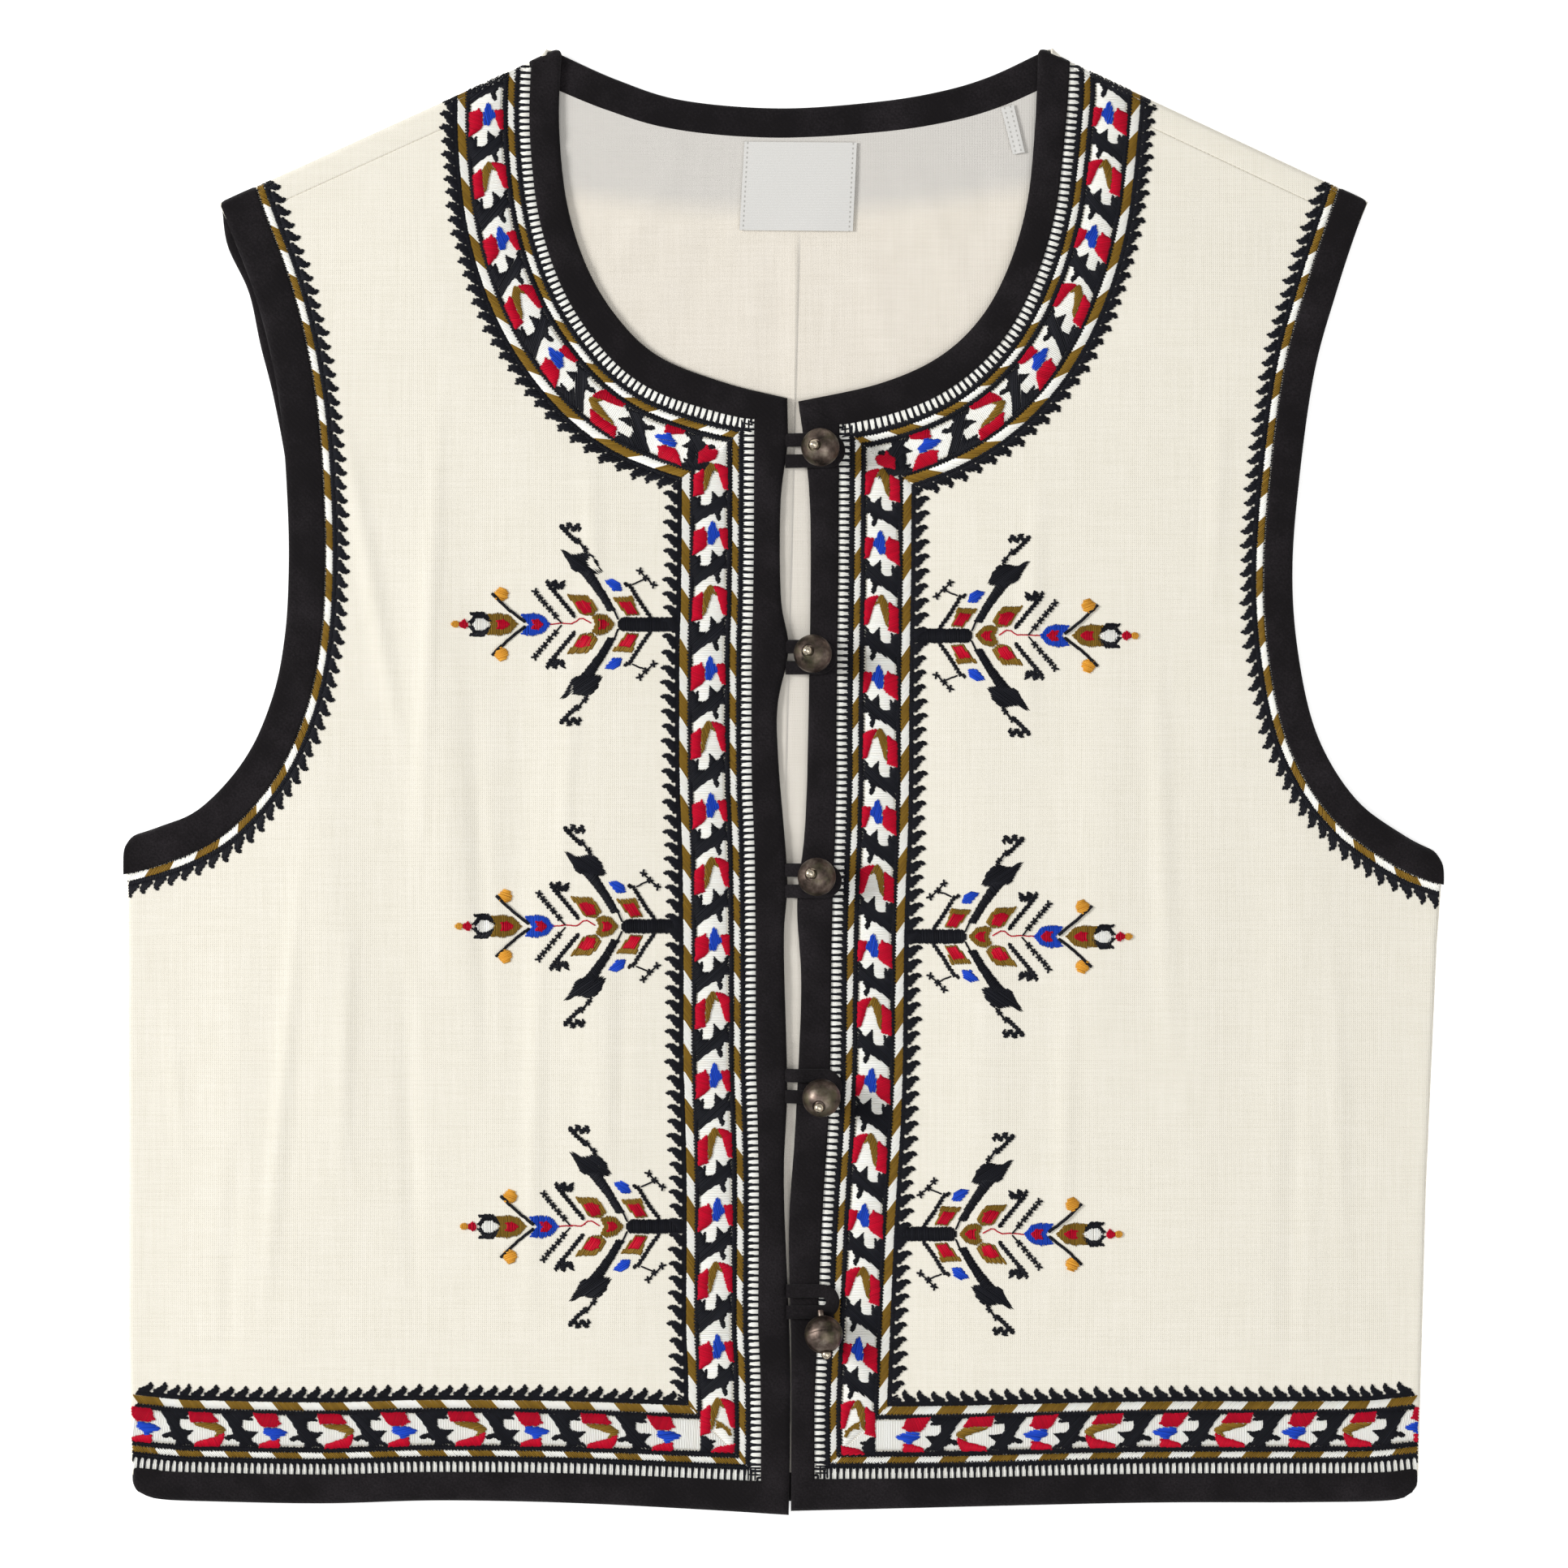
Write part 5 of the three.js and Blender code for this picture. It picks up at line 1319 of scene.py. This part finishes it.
def makeButton(index):
    x, y, leanX, leanY, hangsFrom = buttons[index]
    name = f"button_{index + 1}_ball"
    mesh = bpy.data.meshes.new(name)
    rows = ballProfile()
    mesh.from_pydata([(r * mm, 0, h * mm) for r, h in rows], [(i, i + 1) for i in range(len(rows) - 1)], [])
    piece = addObject(name, mesh, "metal")
    selectOnly(piece)
    bpy.ops.object.mode_set(mode="EDIT")
    bpy.ops.mesh.select_all(action="SELECT")
    bpy.ops.mesh.spin(steps=ball["around"], angle=2 * math.pi, center=(0, 0, 0), axis=(0, 0, 1))
    bpy.ops.mesh.select_all(action="SELECT")
    bpy.ops.mesh.remove_doubles(threshold=0.00001)
    bpy.ops.mesh.normals_make_consistent(inside=False)
    bpy.ops.object.mode_set(mode="OBJECT")
    reach = np.array([v.co for v in mesh.vertices]) / mm
    knob = np.clip((reach[:, 2] - ball["wornFrom"]) / 0.8, 0, 1) * (np.hypot(reach[:, 0], reach[:, 1]) < 2.0)
    mesh.attributes.new("worn", "FLOAT", "POINT").data.foreach_set("value", knob.astype(np.float32))
    lean = Vector((leanX, leanY, 0))
    lean.z = math.sqrt(ball["leanReach"] ** 2 - lean.length_squared)
    height = loopRest + ball["radius"] if hangsFrom else ballHeight
    turn = Vector((0, 0, 1)).rotation_difference(lean.normalized()).to_matrix().to_4x4()
    mesh.transform(Matrix.Translation(Vector((x, y, height)) * mm) @ turn)
    smoothByAngle(piece, 50)
    lean.normalize()
    drop = (height - loopRest - loopSizes["wall"] / 2) / lean.z
    takePlace(piece, "antique_metal", f"button_{index + 1}")
    return hangsFrom or (x - lean.x * drop, y - lean.y * drop)  # where the loop goes round the shank


def edgeReach(sections, y):
    near = sorted(sections, key=lambda s: abs(s["edge"][1] - y))[:2]
    return max(s["edge"][0] for s in near)


def makeLoop(index, shank):
    # A rouleau from under the right edge, over the left binding, round the shank and back
    bend, rest = loopSizes["bend"], loopRest + loopSizes["wall"] / 2
    startX = edgeReach(edges["right"]["edge"], shank[1]) - loopSizes["sewnIn"]
    climbX = edgeReach(edges["left"]["edge"], shank[1])
    low = layers["frontRest"] + layers["bindingWall"] / 2
    first = [
        (startX, bend, low if climbX - startX > loopSizes["wall"] else rest),
        (max(climbX - layers["seamGap"], startX + 1), bend, rest), ((climbX + shank[0]) / 2, bend, rest),
    ]
    turn = [(shank[0] + bend * math.cos(a), bend * math.sin(a), rest)
            for a in np.linspace(math.pi / 2, -math.pi / 2, loopSizes["turnPoints"])]
    spots = np.array(first + turn + [(x, -y, z) for x, y, z in first[::-1]])
    spots[:, 1] += shank[1]
    path = curveThrough(spots, loopSizes["step"])
    along = tangents(path)
    aside = np.column_stack([along[:, 1], -along[:, 0], np.zeros(len(path))])
    aside /= np.linalg.norm(aside, axis=1)[:, None]
    rings = []
    for place, side in zip(path, aside):
        ring = []
        for a in np.linspace(0, 2 * math.pi, loopSizes["sides"], endpoint=False):
            flat = math.copysign(abs(math.cos(a)) ** loopSizes["round"], math.cos(a))
            ring.append(place + side * flat * loopSizes["width"] / 2
                        + np.array([0, 0, math.sin(a) * loopSizes["wall"] / 2]))
        rings.append(ring)
    piece = loft(f"loop_{index + 1}_rouleau", rings, "binding")
    smoothByAngle(piece, 50)
    return takePlace(piece, "binding_twill", f"loop_{index + 1}")


for index in range(len(buttons)):
    makeLoop(index, makeButton(index))
print("stage 6: buttons and loops made")

# Neck label and care tab, both blank
tapes = {
    "label": {"corners": [(-14.5, 236.5), (27.1, 236.2), (25.6, 203.4), (-16.3, 203.8)], "curl": 0.3},
    "care_tab": {"corners": [(80.4, 249), (85.1, 250.2), (89.2, 232.6), (84.8, 231.8)], "curl": 0.1},
}
tapeSizes = {"wall": 0.3, "columns": 22, "rows": 18, "rest": layers["liningTop"] + 0.35}


def makeTape(name):
    tape = tapes[name]
    a, b, c, d = [np.array(p, float) for p in tape["corners"]]
    columns, rows = tapeSizes["columns"], tapeSizes["rows"]
    wide, high = np.linalg.norm(b - a), np.linalg.norm(d - a)
    points, faces, onTape = [], [], []
    for row in range(rows + 1):
        for column in range(columns + 1):
            s, t = column / columns, row / rows
            plan = (a * (1 - s) + b * s) * (1 - t) + (d * (1 - s) + c * s) * t
            curl = tape["curl"] * (math.sin(s * math.pi) * 0.6 + 0.5 * math.sin(s * 7 + t * 3) * t)
            points.append((*plan, tapeSizes["rest"] + tapeSizes["wall"] + curl))
            onTape.append((min(s, 1 - s) * wide, t * high, 0))
    across = columns + 1
    for row in range(rows):
        for column in range(columns):
            i = row * across + column
            faces.append((i, i + across, i + across + 1, i + 1))
    piece = meshObject(f"{name}_tape", points, faces, "tape")
    place = piece.data.attributes.new("onTape", "FLOAT_VECTOR", "POINT")
    place.data.foreach_set("vector", np.array(onTape, dtype=np.float32).ravel())
    applyModifier(piece, "SOLIDIFY", thickness=tapeSizes["wall"] * mm, offset=-1)
    smoothByAngle(piece, 30)
    return takePlace(piece, "label_tape", name)


labels = {name: makeTape(name) for name in tapes}
print("stage 7: label and tab made")

# Stage: floor, light and camera
studio = {
    "frameWidth": 579.6, "middle": (0.15, -1.05), "distance": 2000.0, "sensor": 36.0,
    "floor": 8, "floorZ": -0.0002, "sky": 0.37,
    "lights": {  # place and size in metres, and power
        "key": ((-3.0, 0.55, 2.0), 1.3, 110),
        "fill": ((1.4, -1.1, 1.9), 1.8, 13),
        "top": ((0.2, -0.4, 2.6), 2.2, 13.5),
    },
}


def makeFloor():
    bpy.ops.mesh.primitive_plane_add(size=studio["floor"], location=(0, 0, studio["floorZ"]))
    floor = bpy.context.active_object
    floor.name = "floor"
    # Matte white paper on a light table, so that shadows stay faint
    material, add = newMaterial("paleSeamlessPaper")
    grain = add("TexNoise", {"Vector": add("TexCoord", output="Object"), "Scale": 700, "Detail": 2})
    base = add("Mix", {0: grain, 6: linear("#FAFAF9"), 7: linear("#F6F6F5")}, **inColour)
    floor.data.materials.append(closeMaterial(material, add, {
        "Base Color": base, "Roughness": 0.95, "Specular IOR Level": 0.1,
        "Emission Color": (1, 1, 1, 1), "Emission Strength": 0.5}))


def makeLight(name, place, size, power):
    light = bpy.data.lights.new(name, "AREA")
    light.shape, light.size, light.energy = "DISK", size, power
    lamp = addObject(name, light)
    lamp.location = place
    lamp.rotation_euler = (-Vector(place)).to_track_quat("-Z", "Y").to_euler()


def makeCamera():
    data = bpy.data.cameras.new("overhead")
    data.sensor_width = studio["sensor"]
    data.lens = studio["sensor"] * studio["distance"] / studio["frameWidth"]
    camera = addObject("overhead", data)
    camera.location = Vector((*studio["middle"], studio["distance"] + layers["frontTop"])) * mm
    bpy.context.scene.camera = camera


makeFloor()
for name, lamp in studio["lights"].items():
    makeLight(name, *lamp)
makeCamera()
world = bpy.data.worlds.new("studioWorld")
world.use_nodes = True
sky = world.node_tree.nodes["Background"].inputs
sky["Color"].default_value, sky["Strength"].default_value = (1, 1, 1, 1), studio["sky"]
bpy.context.scene.world = world
bpy.context.scene.view_settings.view_transform = "Standard"  # keeps thread colours and white paper true
print("stage 8: floor, light and camera ready")
